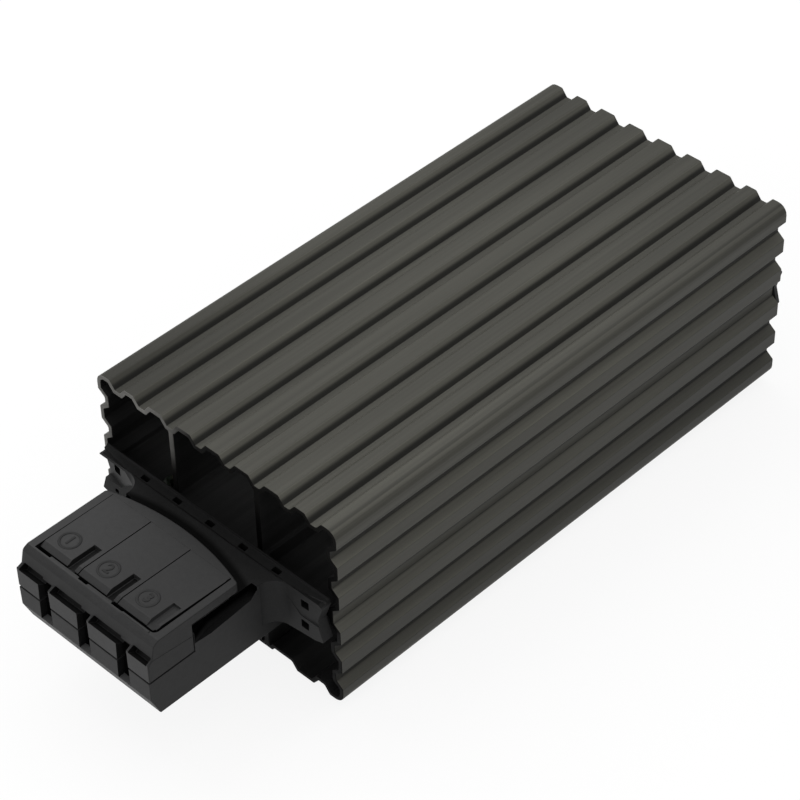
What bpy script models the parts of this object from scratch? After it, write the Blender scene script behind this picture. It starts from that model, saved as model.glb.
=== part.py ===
"""Enclosure heater: a corrugated aluminium profile warmed by a ceramic heating element inside it.

A moulded terminal block with three press levers closes its front and a plain cap closes its rear.
Metres, +Z up. X runs across the profile, Y along it, with the terminal block towards -Y. The origin
is the middle of the footprint, on the surface that the rail clip under the profile stands on.
"""

import math

import bmesh
import bpy
from mathutils import Matrix, Vector

# Fits
CLEARANCE = 0.0003

# Heatsink profile
PROFILE_WIDTH = 0.0700
PROFILE_HEIGHT = 0.0488
PROFILE_LENGTH = 0.1400
WALL = 0.0010
WEB = 0.0014
CORNER_RADIUS = 0.0025
WAVE_DEPTH = 0.0019
WAVE_SLOPE = 0.0015
TOP_RIDGE = 0.0054
TOP_VALLEY = 0.0031
TOP_CORNER_RIDGE = 0.0048
SIDE_RIDGE = 0.0050
SIDE_VALLEY = 0.00335
SIDE_MIDDLE_VALLEY = 0.0050
SIDE_CORNER_RIDGE = 0.0052
BASE_RIDGE = 0.0064
BASE_VALLEY = 0.0032
BASE_CORNER_RIDGE = 0.00475
PAD_DEPTH = 0.0010
PAD_SLOPE = 0.0007
PAD_MARGIN = 0.0012
WEB_INSET = 0.0003

# Heating element and the channel that holds it
CHANNEL_WIDTH = 0.0256
CHANNEL_HEIGHT = 0.0060
CHANNEL_WALL = 0.0014
CHIP_COUNT = 4
CHIP_THICKNESS = 0.0022
CHIP_SPACING = 0.0026
ELECTRODE_THICKNESS = 0.0006
ELECTRODE_INSET = 0.0008
INSULATION_THICKNESS = 0.0005
FRAME_THICKNESS = 0.0016
FRAME_RAIL = 0.0032
STACK_SETBACK = 0.0060
TAB_WIDTH = 0.0040
TAB_LENGTH = 0.0045
TAB_OFFSET_LOWER = -0.0030
TAB_OFFSET_UPPER = 0.0050

# Terminal block
BLOCK_FRONT_RAIL = 0.0043
BLOCK_SIDE_RAIL = 0.00205
BLOCK_TOP = 0.0096
BLOCK_BOTTOM = -0.0101
BLOCK_FLOOR = 0.0018
BLOCK_PARTING = -0.0004
PARTING_GAP = 0.0005
BLOCK_SHOULDER = 0.0050
SHOULDER_REACH = 0.0247
BOTTOM_CHAMFER_DEPTH = 0.0021
BOTTOM_CHAMFER_HEIGHT = 0.0049
TIER_TOP = 0.0050
TIER_PROUD = 0.0013
FACE_LEAN = 0.0007
FACE_ROUND = 0.0016
GROOVE_DEPTH = 0.0018
GROOVE_WIDTH = 0.0017
GROOVE_END = 0.0009

# End plate on the front of the profile, part of the terminal block's lower moulding
PLATE_THICKNESS = 0.0027
PLATE_INSET = 0.00175
PLATE_CORNER_CUT = 0.0010
PLATE_NOTCH = 0.0017
PLATE_TOP = 0.0052
PLATE_LOW_CORNER = 0.0051
PLATE_LOW_INNER = 0.0071
PLATE_LEDGE = 0.0008
LEDGE_DEPTH = 0.0010
FLARE_RADIUS = 0.0040
LEDGE_HOLE_PITCH = 0.0098
LEDGE_HOLE_COUNT = 5
LEDGE_HOLE = 0.0022
BOSS_HOLE = 0.0021
BOSS_HOLE_INSET = 0.00515
BOSS_HOLE_RISE = 0.0022
BOSS_HOLE_FALL = 0.0034
SPIGOT_WIDTH = 0.0030

# Cover of the terminal block
COVER_THICKNESS = 0.0021
COVER_SIDE_REACH = 0.01245
COVER_BOW = 0.00315
NECK_INSET = 0.0011
NECK_WALL = 0.0010
CAVITY_BACK_WALL = 0.0012

# Press levers
LEVER_PITCH = 0.0117
LEVER_SLIT = 0.0004
LEVER_LENGTH = 0.01955
LEVER_GAP = 0.0006
LEVER_THICKNESS = 0.0017
LEVER_TIP_THICKNESS = 0.0028
LEVER_TIP_LENGTH = 0.0065
LEVER_BEVEL_LENGTH = 0.0015
LEVER_BEVEL_DROP = 0.0013
LEVER_NOTCH_WIDTH = 0.0024
LEVER_NOTCH_MARGIN = 0.0009
LEVER_NOTCH_SLOPE = 0.0004
LEVER_NOTCH_LENGTH = 0.0075
LEVER_NOTCH_DEPTH = 0.0014
LEVER_FOOT_DEPTH = 0.0026
LEVER_FOOT_WIDTH = 0.0016

# Wire slots and the clamps behind them
SLOT_OFFSET = 0.0001
SLOT_WIDTH = 0.0036
SLOT_DEPTH = 0.0034
SLOT_BOTTOM = -0.0058
WIRE_HOLE_WIDTH = 0.0030
WIRE_HOLE_HEIGHT = 0.0056
BAY_PARTITION = 0.0015
FRONT_WALL = 0.0041
BAR_THICKNESS = 0.0008
BAR_WIDTH = 0.0050
BAR_RISE = 0.0052
BAR_SETBACK = 0.0010
SPRING_THICKNESS = 0.0005
SPRING_WIDTH = 0.0044
SPRING_RADIUS = 0.0026
SPRING_SETBACK = 0.0040
SPRING_PLAY = 0.00135
LEAD_RADIUS = 0.0009
LEAD_BEND = 0.0024
LEAD_HOLE_RADIUS = 0.0013
NICHE_LENGTH = 0.0085

# Earth connection on the left side web
TAG_RADIUS = 0.0032
TAG_THICKNESS = 0.0007
TAG_REACH = 0.0085
TAG_MARGIN = 0.0010
SCREW_RADIUS = 0.0015
SCREW_HEAD_RADIUS = 0.0029
SCREW_HEAD_HEIGHT = 0.0015
SCREW_SLOT_WIDTH = 0.0007
SCREW_SLOT_DEPTH = 0.0007

# Rear cap
CAP_PROUD = 0.0015
CAP_INSET = 0.0006
CAP_CORNER_CUT = 0.0010
CAP_NOTCH = 0.0012
CAP_RISE = 0.0053
CAP_FALL = 0.0043
CAP_MIDDLE_FALL = 0.0064
CAP_PLUG_LENGTH = 0.0080

# Rail clip under the profile
RAIL_WIDTH = 0.0350
RAIL_THICKNESS = 0.0010
RAIL_PLAY = 0.0011
CLIP_THICKNESS = 0.0005
CLIP_WIDTH = 0.0200
CLIP_HOOK = 0.0024
RIVET_SPACING = 0.0180
RIVET_RADIUS = 0.0014
RIVET_HEAD_RADIUS = 0.0023
RIVET_SINK = 0.0004
RIVET_TAIL_RADIUS = 0.0023
RIVET_TAIL_HEIGHT = 0.0009
RIVET_RECESS = 0.0001

# Places that follow from the sizes
LEVER_HALF_WIDTH = (LEVER_PITCH - LEVER_SLIT) / 2
OPENING_HALF = LEVER_PITCH + LEVER_HALF_WIDTH + LEVER_SLIT / 2
BLOCK_WIDTH = 2 * (OPENING_HALF + BLOCK_SIDE_RAIL)
COVER_ARC_REACH = COVER_SIDE_REACH - COVER_BOW
LEVER_HINGE_REACH = COVER_SIDE_REACH
LEVER_FRONT_REACH = LEVER_HINGE_REACH + LEVER_LENGTH
BLOCK_REACH = LEVER_FRONT_REACH + LEVER_GAP + BLOCK_FRONT_RAIL
TOTAL_LENGTH = BLOCK_REACH + PROFILE_LENGTH + CAP_PROUD
FRONT_Y = BLOCK_REACH - TOTAL_LENGTH / 2
REAR_Y = FRONT_Y + PROFILE_LENGTH
MIDDLE_Y = (FRONT_Y + REAR_Y) / 2
BASE_Z = 2 * CLIP_THICKNESS + RAIL_THICKNESS + RAIL_PLAY + CLEARANCE - PAD_DEPTH
MID_Z = BASE_Z + PROFILE_HEIGHT / 2
HALF_WIDTH = PROFILE_WIDTH / 2
HALF_HEIGHT = PROFILE_HEIGHT / 2
HALF_BLOCK = BLOCK_WIDTH / 2
HALF_CHANNEL = CHANNEL_WIDTH / 2
CHANNEL_SIDE = HALF_CHANNEL + CHANNEL_WALL
CHANNEL_TOP = CHANNEL_HEIGHT / 2 + CHANNEL_WALL
WEB_OFFSET = HALF_CHANNEL - WEB_INSET
PAD_HALF = WEB_OFFSET + WEB / 2 + PAD_MARGIN
PLATE_HALF_WIDTH = HALF_WIDTH - PLATE_INSET
BOSS_HOLE_OFFSET = PLATE_HALF_WIDTH - BOSS_HOLE_INSET
CAP_HALF_WIDTH = HALF_WIDTH - CAP_INSET
PLATE_BACK = FRONT_Y - CLEARANCE
PLATE_FRONT = PLATE_BACK - PLATE_THICKNESS
BLOCK_FRONT = FRONT_Y - BLOCK_REACH
SHOULDER_Y = FRONT_Y - SHOULDER_REACH
COVER_BOTTOM = MID_Z + BLOCK_PARTING + PARTING_GAP
COVER_TOP = MID_Z + BLOCK_TOP
SHOULDER_Z = MID_Z + BLOCK_SHOULDER
TIER_Z = MID_Z + TIER_TOP
FLOOR_Z = MID_Z + BLOCK_BOTTOM + BLOCK_FLOOR
HINGE_Y = FRONT_Y - LEVER_HINGE_REACH
HINGE_Z = COVER_TOP - LEVER_THICKNESS / 2
LEVER_FRONT = FRONT_Y - LEVER_FRONT_REACH
LEVER_BACK = HINGE_Y - CLEARANCE / 2
OPENING_FRONT = LEVER_FRONT - LEVER_GAP
OPENING_BACK = HINGE_Y + CLEARANCE / 2
COVER_UNDERSIDE = COVER_TOP - COVER_THICKNESS
BAY_HALF = (LEVER_PITCH - BAY_PARTITION) / 2
BAY_FRONT = BLOCK_FRONT + FRONT_WALL
BAY_BACK = OPENING_BACK - CAVITY_BACK_WALL - NECK_WALL
SIDES = ("left", "middle", "right")
LEVER_CENTRES = {side: (number - 1) * LEVER_PITCH for number, side in enumerate(SIDES)}
BAR_Z = FLOOR_Z + CLEARANCE + BAR_THICKNESS / 2
BAR_BACK = BAY_BACK - LEAD_BEND
BAR_TOP = BAR_Z + BAR_RISE
SPRING_LOW = BAR_Z + BAR_THICKNESS / 2 + CLEARANCE
SPRING_CROWN = COVER_TOP - LEVER_THICKNESS - LEVER_FOOT_DEPTH - SPRING_PLAY
SPRING_RISE = SPRING_CROWN - SPRING_RADIUS - SPRING_THICKNESS / 2 - SPRING_LOW
STACK_FRONT = FRONT_Y + STACK_SETBACK
STACK_BACK = REAR_Y - CAP_PLUG_LENGTH - CLEARANCE
STACK_LENGTH = STACK_BACK - STACK_FRONT
LAYER_GAP = (CHANNEL_HEIGHT - CHIP_THICKNESS - 2 * ELECTRODE_THICKNESS - 2 * INSULATION_THICKNESS) / 6
ELECTRODE_Z = CHIP_THICKNESS / 2 + LAYER_GAP + ELECTRODE_THICKNESS / 2
INSULATION_Z = ELECTRODE_Z + ELECTRODE_THICKNESS / 2 + LAYER_GAP + INSULATION_THICKNESS / 2
ELECTRODE_HALF = HALF_CHANNEL - ELECTRODE_INSET
CHIP_WIDTH = 2 * (ELECTRODE_HALF - FRAME_RAIL - CLEARANCE)
TAG_X = -(CHANNEL_SIDE + TAG_RADIUS + TAG_MARGIN)
TAG_Y = FRONT_Y + TAG_REACH
TAG_Z = MID_Z + WEB / 2 + CLEARANCE + TAG_THICKNESS / 2
EARTH_HOLE_X = -(CHANNEL_SIDE + CLEARANCE + LEAD_HOLE_RADIUS)
EARTH_HOLE_Z = MID_Z + WEB / 2 + CLEARANCE + LEAD_RADIUS
EARTH_START_X = LEVER_CENTRES["left"] + SLOT_OFFSET - BAR_WIDTH / 2 + LEAD_HOLE_RADIUS / 2
NICHE_BACK = BAY_BACK + NICHE_LENGTH
CLIP_Z = BASE_Z + PAD_DEPTH - CLEARANCE - CLIP_THICKNESS / 2
OVERCUT = 0.0010

# Materials: colour, roughness, metallic
BLACK_ALUMINIUM = ("black_aluminium", (0.060, 0.057, 0.052), 0.42, 0.60)
BLACK_PLASTIC = ("black_plastic", (0.032, 0.032, 0.034), 0.48, 0.0)
SPRING_STEEL = ("spring_steel", (0.62, 0.62, 0.63), 0.30, 1.0)
TINNED_BRASS = ("tinned_brass", (0.80, 0.72, 0.50), 0.28, 1.0)
SHEET_ALUMINIUM = ("sheet_aluminium", (0.80, 0.81, 0.82), 0.32, 1.0)
HEATER_CERAMIC = ("heater_ceramic", (0.30, 0.27, 0.24), 0.75, 0.0)
INSULATING_FILM = ("insulating_film", (0.55, 0.30, 0.08), 0.35, 0.0)
FRAME_PLASTIC = ("frame_plastic", (0.72, 0.70, 0.64), 0.55, 0.0)
LEAD_BROWN = ("lead_brown", (0.16, 0.07, 0.03), 0.45, 0.0)
LEAD_BLUE = ("lead_blue", (0.03, 0.12, 0.42), 0.45, 0.0)
LEAD_GREEN = ("lead_green", (0.10, 0.38, 0.08), 0.45, 0.0)
ZINC_STEEL = ("zinc_steel", (0.66, 0.67, 0.66), 0.36, 1.0)


def clear_scene():
    """Remove what a new file holds."""
    for obj in list(bpy.data.objects):
        bpy.data.objects.remove(obj, do_unlink=True)


def make_collection(name):
    """A collection linked to the scene."""
    collection = bpy.data.collections.new(name)
    bpy.context.scene.collection.children.link(collection)
    return collection


clear_scene()
PARTS = make_collection("enclosure_heater")
CUTTERS = make_collection("cutters")


def material(spec):
    """A material with one Principled shader, made once and shared."""
    name, colour, roughness, metallic = spec
    if name in bpy.data.materials:
        return bpy.data.materials[name]
    mat = bpy.data.materials.new(name)
    mat.use_nodes = True
    shader = mat.node_tree.nodes["Principled BSDF"]
    shader.inputs["Base Color"].default_value = (*colour, 1.0)
    shader.inputs["Roughness"].default_value = roughness
    shader.inputs["Metallic"].default_value = metallic
    mat.diffuse_color = (*colour, 1.0)
    return mat


def add_object(name, data, spec=None):
    """Link an object: a part when it has a material, otherwise a hidden helper for Booleans."""
    obj = bpy.data.objects.new(name, data)
    if spec is None:
        CUTTERS.objects.link(obj)
        obj.hide_render = True
        obj.display_type = 'WIRE'
        return obj
    PARTS.objects.link(obj)
    data.materials.append(material(spec))
    return obj


def box(name, x_range, y_range, z_range, spec=None):
    """A rectangular block between three pairs of world coordinates."""
    size = [high - low for low, high in (x_range, y_range, z_range)]
    mesh = bpy.data.meshes.new(name)
    bm = bmesh.new()
    bmesh.ops.create_cube(bm, size=1.0, matrix=Matrix.Diagonal((*size, 1.0)))
    bm.to_mesh(mesh)
    bm.free()
    obj = add_object(name, mesh, spec)
    obj.location = [(low + high) / 2 for low, high in (x_range, y_range, z_range)]
    return obj


def cylinder(name, centre, radius, length, axis='Z', spec=None, segments=32):
    """A round bar centred on a point, along X, Y or Z."""
    mesh = bpy.data.meshes.new(name)
    bm = bmesh.new()
    bmesh.ops.create_cone(bm, cap_ends=True, segments=segments, radius1=radius, radius2=radius, depth=length)
    bm.to_mesh(mesh)
    bm.free()
    obj = add_object(name, mesh, spec)
    obj.location = centre
    obj.rotation_euler = {'X': (0, math.pi / 2, 0), 'Y': (math.pi / 2, 0, 0), 'Z': (0, 0, 0)}[axis]
    return obj


PLANE_TURNS = {
    'XZ': (math.pi / 2, 0, 0),
    'YZ': (math.pi / 2, 0, math.pi / 2),
    'XY': (0, 0, 0),
}


def even_out_caps(bm, thickness):
    """Swap edges inside the two flat caps, so that no triangle there has its corners in one line."""
    level = thickness / 4
    caps = [face for face in bm.faces if abs(face.calc_center_median().z) > level]
    inside = set(caps)
    edges = [edge for edge in bm.edges if len(edge.link_faces) == 2 and inside.issuperset(edge.link_faces)]
    bmesh.ops.beautify_fill(bm, faces=caps, edges=edges, method='AREA')


def outline_solid(name, loops, thickness, plane, location=(0, 0, 0), spec=None):
    """A flat outline, with holes where inner loops are given, made solid across its plane."""
    curve = bpy.data.curves.new(name, 'CURVE')
    curve.dimensions = '2D'
    curve.fill_mode = 'BOTH'
    curve.extrude = thickness / 2
    for loop in loops:
        spline = curve.splines.new('POLY')
        spline.points.add(len(loop) - 1)
        for point, (u, v) in zip(spline.points, loop):
            point.co = (u, v, 0, 1)
        spline.use_cyclic_u = True
    flat = bpy.data.objects.new(name + "_outline", curve)
    bpy.context.scene.collection.objects.link(flat)
    flat.location = location
    flat.rotation_euler = PLANE_TURNS[plane]
    bpy.context.view_layer.update()
    depsgraph = bpy.context.evaluated_depsgraph_get()
    mesh = bpy.data.meshes.new_from_object(flat.evaluated_get(depsgraph))
    mesh.name = name
    place = flat.matrix_world.copy()
    bpy.data.objects.remove(flat, do_unlink=True)
    bm = bmesh.new()
    bm.from_mesh(mesh)
    bmesh.ops.remove_doubles(bm, verts=bm.verts, dist=1e-6)
    even_out_caps(bm, thickness)
    bmesh.ops.recalc_face_normals(bm, faces=bm.faces)
    bm.to_mesh(mesh)
    bm.free()
    mesh.materials.clear()
    obj = add_object(name, mesh, spec)
    obj.matrix_world = place
    return obj


def turned(name, profile, location, spec=None):
    """A turned piece: a profile at +X, from its top to its bottom, swept round Z."""
    mesh = bpy.data.meshes.new(name)
    points = [(radius, 0, height) for radius, height in profile]
    edges = [(number, number + 1) for number in range(len(points) - 1)]
    mesh.from_pydata(points, edges, [])
    obj = add_object(name, mesh, spec)
    obj.location = location
    screw = obj.modifiers.new("turn", 'SCREW')
    screw.steps = 24
    screw.render_steps = 24
    screw.use_merge_vertices = True
    screw.merge_threshold = 0.00001
    return obj


def combine(obj, helper, operation):
    """Cut a helper from an object, or join it on."""
    boolean = obj.modifiers.new(helper.name, 'BOOLEAN')
    boolean.operation = operation
    boolean.solver = 'EXACT'
    boolean.object = helper


def cut(obj, helper):
    combine(obj, helper, 'DIFFERENCE')


def join(obj, helper):
    combine(obj, helper, 'UNION')


def arc(centre, radius, start, end, steps):
    """Points along an arc, with angles in degrees, both ends included."""
    angles = [math.radians(start + (end - start) * step / steps) for step in range(steps + 1)]
    return [(centre[0] + radius * math.cos(a), centre[1] + radius * math.sin(a)) for a in angles]


def mirrored(half):
    """Close a right-hand half outline, which starts low and ends high, with its left-hand copy."""
    return half + [(-x, z) for x, z in reversed(half) if abs(x) > 1e-9]


def strip(path, thickness):
    """The outline of a bent strip of even thickness along a centre line."""
    points = [Vector(point) for point in path]
    sides = []
    for number, point in enumerate(points):
        before = (point - points[number - 1]).normalized() if number else None
        after = (points[number + 1] - point).normalized() if number < len(points) - 1 else None
        before = before or after
        after = after or before
        middle = (before + after).normalized()
        normal = Vector((-middle.y, middle.x))
        stretch = 1 / max(normal.dot(Vector((-before.y, before.x))), 0.4)
        sides.append(normal * (stretch * thickness / 2))
    left = [tuple(point + side) for point, side in zip(points, sides)]
    right = [tuple(point - side) for point, side in zip(points, sides)]
    return right + left[::-1]


def valleys(first, valley, ridge, corner_start):
    """Edges of the valleys from a first one outwards, ending with the one beside the corner ridge."""
    edges = []
    start = first
    last = corner_start - valley
    while start + valley + 2 * WAVE_SLOPE < last:
        edges += [start, start + valley]
        start += valley + ridge
    return edges + [last, corner_start]


def base_ridges():
    """Edges of the base's ridges between its pad and its corner, from the pad outwards."""
    edges = [HALF_WIDTH - BASE_CORNER_RIDGE]
    start = edges[0] - BASE_VALLEY - BASE_RIDGE
    while start > PAD_HALF + 2 * WAVE_SLOPE:
        edges = [start, start + BASE_RIDGE] + edges
        start -= BASE_VALLEY + BASE_RIDGE
    return edges


def wave(edges, depths, slopes, inset):
    """Half of a corrugated wall, as distance from its middle and depth below the outer surface.

    inset moves the line inwards by a wall thickness: each slope then also shifts towards its ridge.
    """
    points = []
    for number, edge in enumerate(edges):
        inner, outer = depths[number], depths[number + 1]
        slope = slopes[number]
        turn = math.atan2(abs(outer - inner), slope)
        shift = inset * math.tan(turn / 2) * (-1 if inner < outer else 1)
        points.append((edge + shift - slope / 2, inner + inset))
        points.append((edge + shift + slope / 2, outer + inset))
    return points


def alternate(first, count):
    """Depths that swap between ridge and valley, for one more flat than there are edges."""
    other = WAVE_DEPTH - first
    return [first if number % 2 == 0 else other for number in range(count + 1)]


def profile_walls(inset):
    """Top, side and base of the profile's right half, each from its middle outwards."""
    top_edges = valleys(TOP_RIDGE / 2, TOP_VALLEY, TOP_RIDGE, HALF_WIDTH - TOP_CORNER_RIDGE)
    top = wave(top_edges, alternate(0.0, len(top_edges)), [WAVE_SLOPE] * len(top_edges), inset)
    first_valley = SIDE_MIDDLE_VALLEY / 2 + SIDE_RIDGE
    side_edges = [SIDE_MIDDLE_VALLEY / 2]
    side_edges += valleys(first_valley, SIDE_VALLEY, SIDE_RIDGE, HALF_HEIGHT - SIDE_CORNER_RIDGE)
    side = wave(side_edges, alternate(WAVE_DEPTH, len(side_edges)), [WAVE_SLOPE] * len(side_edges), inset)
    ridges = base_ridges()
    base_depths = [PAD_DEPTH] + alternate(WAVE_DEPTH, len(ridges))
    base = wave([PAD_HALF] + ridges, base_depths, [PAD_SLOPE] + [WAVE_SLOPE] * len(ridges), inset)
    return top, side, base


def corner(inset, top):
    """The rounded corner of the profile, at the top or the base, from the base up or from the side in."""
    centre = (HALF_WIDTH - CORNER_RADIUS, CORNER_RADIUS)
    points = arc(centre, CORNER_RADIUS - inset, -90, 0, 5)
    if top:
        points = [(x, PROFILE_HEIGHT - z) for x, z in reversed(points)]
    return points


def profile_loops():
    """The outer outline of the profile and its seven channels, in X and height above its base."""
    top, side, base = profile_walls(0.0)
    low_side = [(HALF_WIDTH - depth, HALF_HEIGHT - reach) for reach, depth in reversed(side)]
    high_side = [(HALF_WIDTH - depth, HALF_HEIGHT + reach) for reach, depth in side]
    high = [(reach, PROFILE_HEIGHT - depth) for reach, depth in reversed(top)]
    outer = mirrored(base + corner(0.0, False) + low_side + high_side + corner(0.0, True) + high)

    top, side, base = profile_walls(WALL)
    low_side = [(HALF_WIDTH - depth, HALF_HEIGHT - reach) for reach, depth in reversed(side)]
    high_side = [(HALF_WIDTH - depth, HALF_HEIGHT + reach) for reach, depth in side]
    high = [(reach, PROFILE_HEIGHT - depth) for reach, depth in reversed(top)]
    valley_z = PROFILE_HEIGHT - WAVE_DEPTH - WALL
    valley_x = HALF_WIDTH - WAVE_DEPTH - WALL
    web_in = WEB_OFFSET - WEB / 2
    web_out = WEB_OFFSET + WEB / 2
    box_top = HALF_HEIGHT + CHANNEL_TOP
    box_low = HALF_HEIGHT - CHANNEL_TOP

    middle_top = [(x, z) for x, z in high if x < web_in]
    upper_middle = mirrored([(web_in, box_top), (web_in, valley_z)] + middle_top)
    floor = PAD_DEPTH + WALL
    lower_middle = mirrored([(web_in, floor), (web_in, box_low)])
    shelf = HALF_HEIGHT + WEB / 2
    upper_right = [(web_out, box_top), (CHANNEL_SIDE, box_top), (CHANNEL_SIDE, shelf), (valley_x, shelf)]
    upper_right += high_side + corner(WALL, True) + [(x, z) for x, z in high if x > web_out]
    upper_right += [(web_out, valley_z)]
    shelf = HALF_HEIGHT - WEB / 2
    lower_right = [(web_out, floor)] + [(x, z) for x, z in base if x > web_out] + corner(WALL, False)
    lower_right += low_side + [(valley_x, shelf), (CHANNEL_SIDE, shelf)]
    lower_right += [(CHANNEL_SIDE, box_low), (web_out, box_low)]
    half_channel = CHANNEL_HEIGHT / 2
    low = HALF_HEIGHT - half_channel
    channel = mirrored([(HALF_CHANNEL, low), (HALF_CHANNEL, low + CHANNEL_HEIGHT)])
    upper_left = [(-x, z) for x, z in reversed(upper_right)]
    lower_left = [(-x, z) for x, z in reversed(lower_right)]
    return [outer, upper_middle, lower_middle, upper_right, upper_left, lower_right, lower_left, channel]


def make_profile():
    """The extruded body, drilled for the clip's rivets and the earth screw."""
    loops = profile_loops()
    place = (0, MIDDLE_Y, BASE_Z)
    profile = outline_solid("heatsink_profile", loops, PROFILE_LENGTH, 'XZ', place, BLACK_ALUMINIUM)
    for number, y in enumerate(rivet_places()):
        centre = (0, y, BASE_Z + PAD_DEPTH + WALL / 2)
        cut(profile, cylinder(f"clip_bore_{number}", centre, RIVET_RADIUS + CLEARANCE, 3 * WALL))
    centre = (TAG_X, TAG_Y, MID_Z)
    cut(profile, cylinder("earth_bore", centre, SCREW_RADIUS + CLEARANCE, 2 * WEB))


def end_plate_outline():
    """The bow-tie outline of the plate on the profile's front."""
    low = MID_Z - PLATE_LOW_CORNER
    inner = MID_Z - PLATE_LOW_INNER
    edge = PLATE_HALF_WIDTH
    half = [
        (HALF_BLOCK + FLARE_RADIUS / 2, inner),
        (edge - PLATE_NOTCH * 1.5, low - PLATE_NOTCH / 2),
        (edge, low),
        (edge - PLATE_NOTCH, MID_Z),
        (edge, MID_Z + PLATE_TOP - PLATE_CORNER_CUT / 2),
        (edge - PLATE_CORNER_CUT, MID_Z + PLATE_TOP),
    ]
    return mirrored([(HALF_BLOCK - OVERCUT, inner)] + half)


def block_side_outline():
    """Side view of the lower moulding's block, with its front chamfer and its raised shoulder."""
    low = MID_Z + BLOCK_BOTTOM
    return [
        (BLOCK_FRONT + BOTTOM_CHAMFER_DEPTH, low),
        (PLATE_BACK - CLEARANCE, low),
        (PLATE_BACK - CLEARANCE, SHOULDER_Z),
        (SHOULDER_Y, SHOULDER_Z),
        (SHOULDER_Y, MID_Z + BLOCK_PARTING),
        (BLOCK_FRONT, MID_Z + BLOCK_PARTING),
        (BLOCK_FRONT, low + BOTTOM_CHAMFER_HEIGHT),
    ]


def flare_outline():
    """Plan of the hollow curves that carry the block's sides into the plate."""
    outer = HALF_BLOCK + FLARE_RADIUS
    start = PLATE_FRONT - FLARE_RADIUS
    curve = arc((outer, start), FLARE_RADIUS, 180, 90, 6)
    half = [(HALF_BLOCK - OVERCUT, start)] + curve + [(outer, PLATE_FRONT + OVERCUT)]
    return mirrored(half)


def make_slots(obj, part, bottom, top):
    """Cut the three wire slots and the narrower holes behind them into one of the mouldings."""
    for side, centre in LEVER_CENTRES.items():
        x = centre + SLOT_OFFSET
        slot_x = (x - SLOT_WIDTH / 2, x + SLOT_WIDTH / 2)
        slot_y = (BLOCK_FRONT - OVERCUT, BLOCK_FRONT + SLOT_DEPTH)
        cut(obj, box(f"{part}_slot_{side}", slot_x, slot_y, (bottom, top)))
        hole_x = (x - WIRE_HOLE_WIDTH / 2, x + WIRE_HOLE_WIDTH / 2)
        hole_y = (BLOCK_FRONT + SLOT_DEPTH - OVERCUT, BAY_FRONT + OVERCUT)
        low = max(bottom, MID_Z + SLOT_BOTTOM + CLEARANCE)
        high = min(top, MID_Z + SLOT_BOTTOM + WIRE_HOLE_HEIGHT)
        if high > low:
            cut(obj, box(f"{part}_wire_hole_{side}", hole_x, hole_y, (low, high)))


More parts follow.
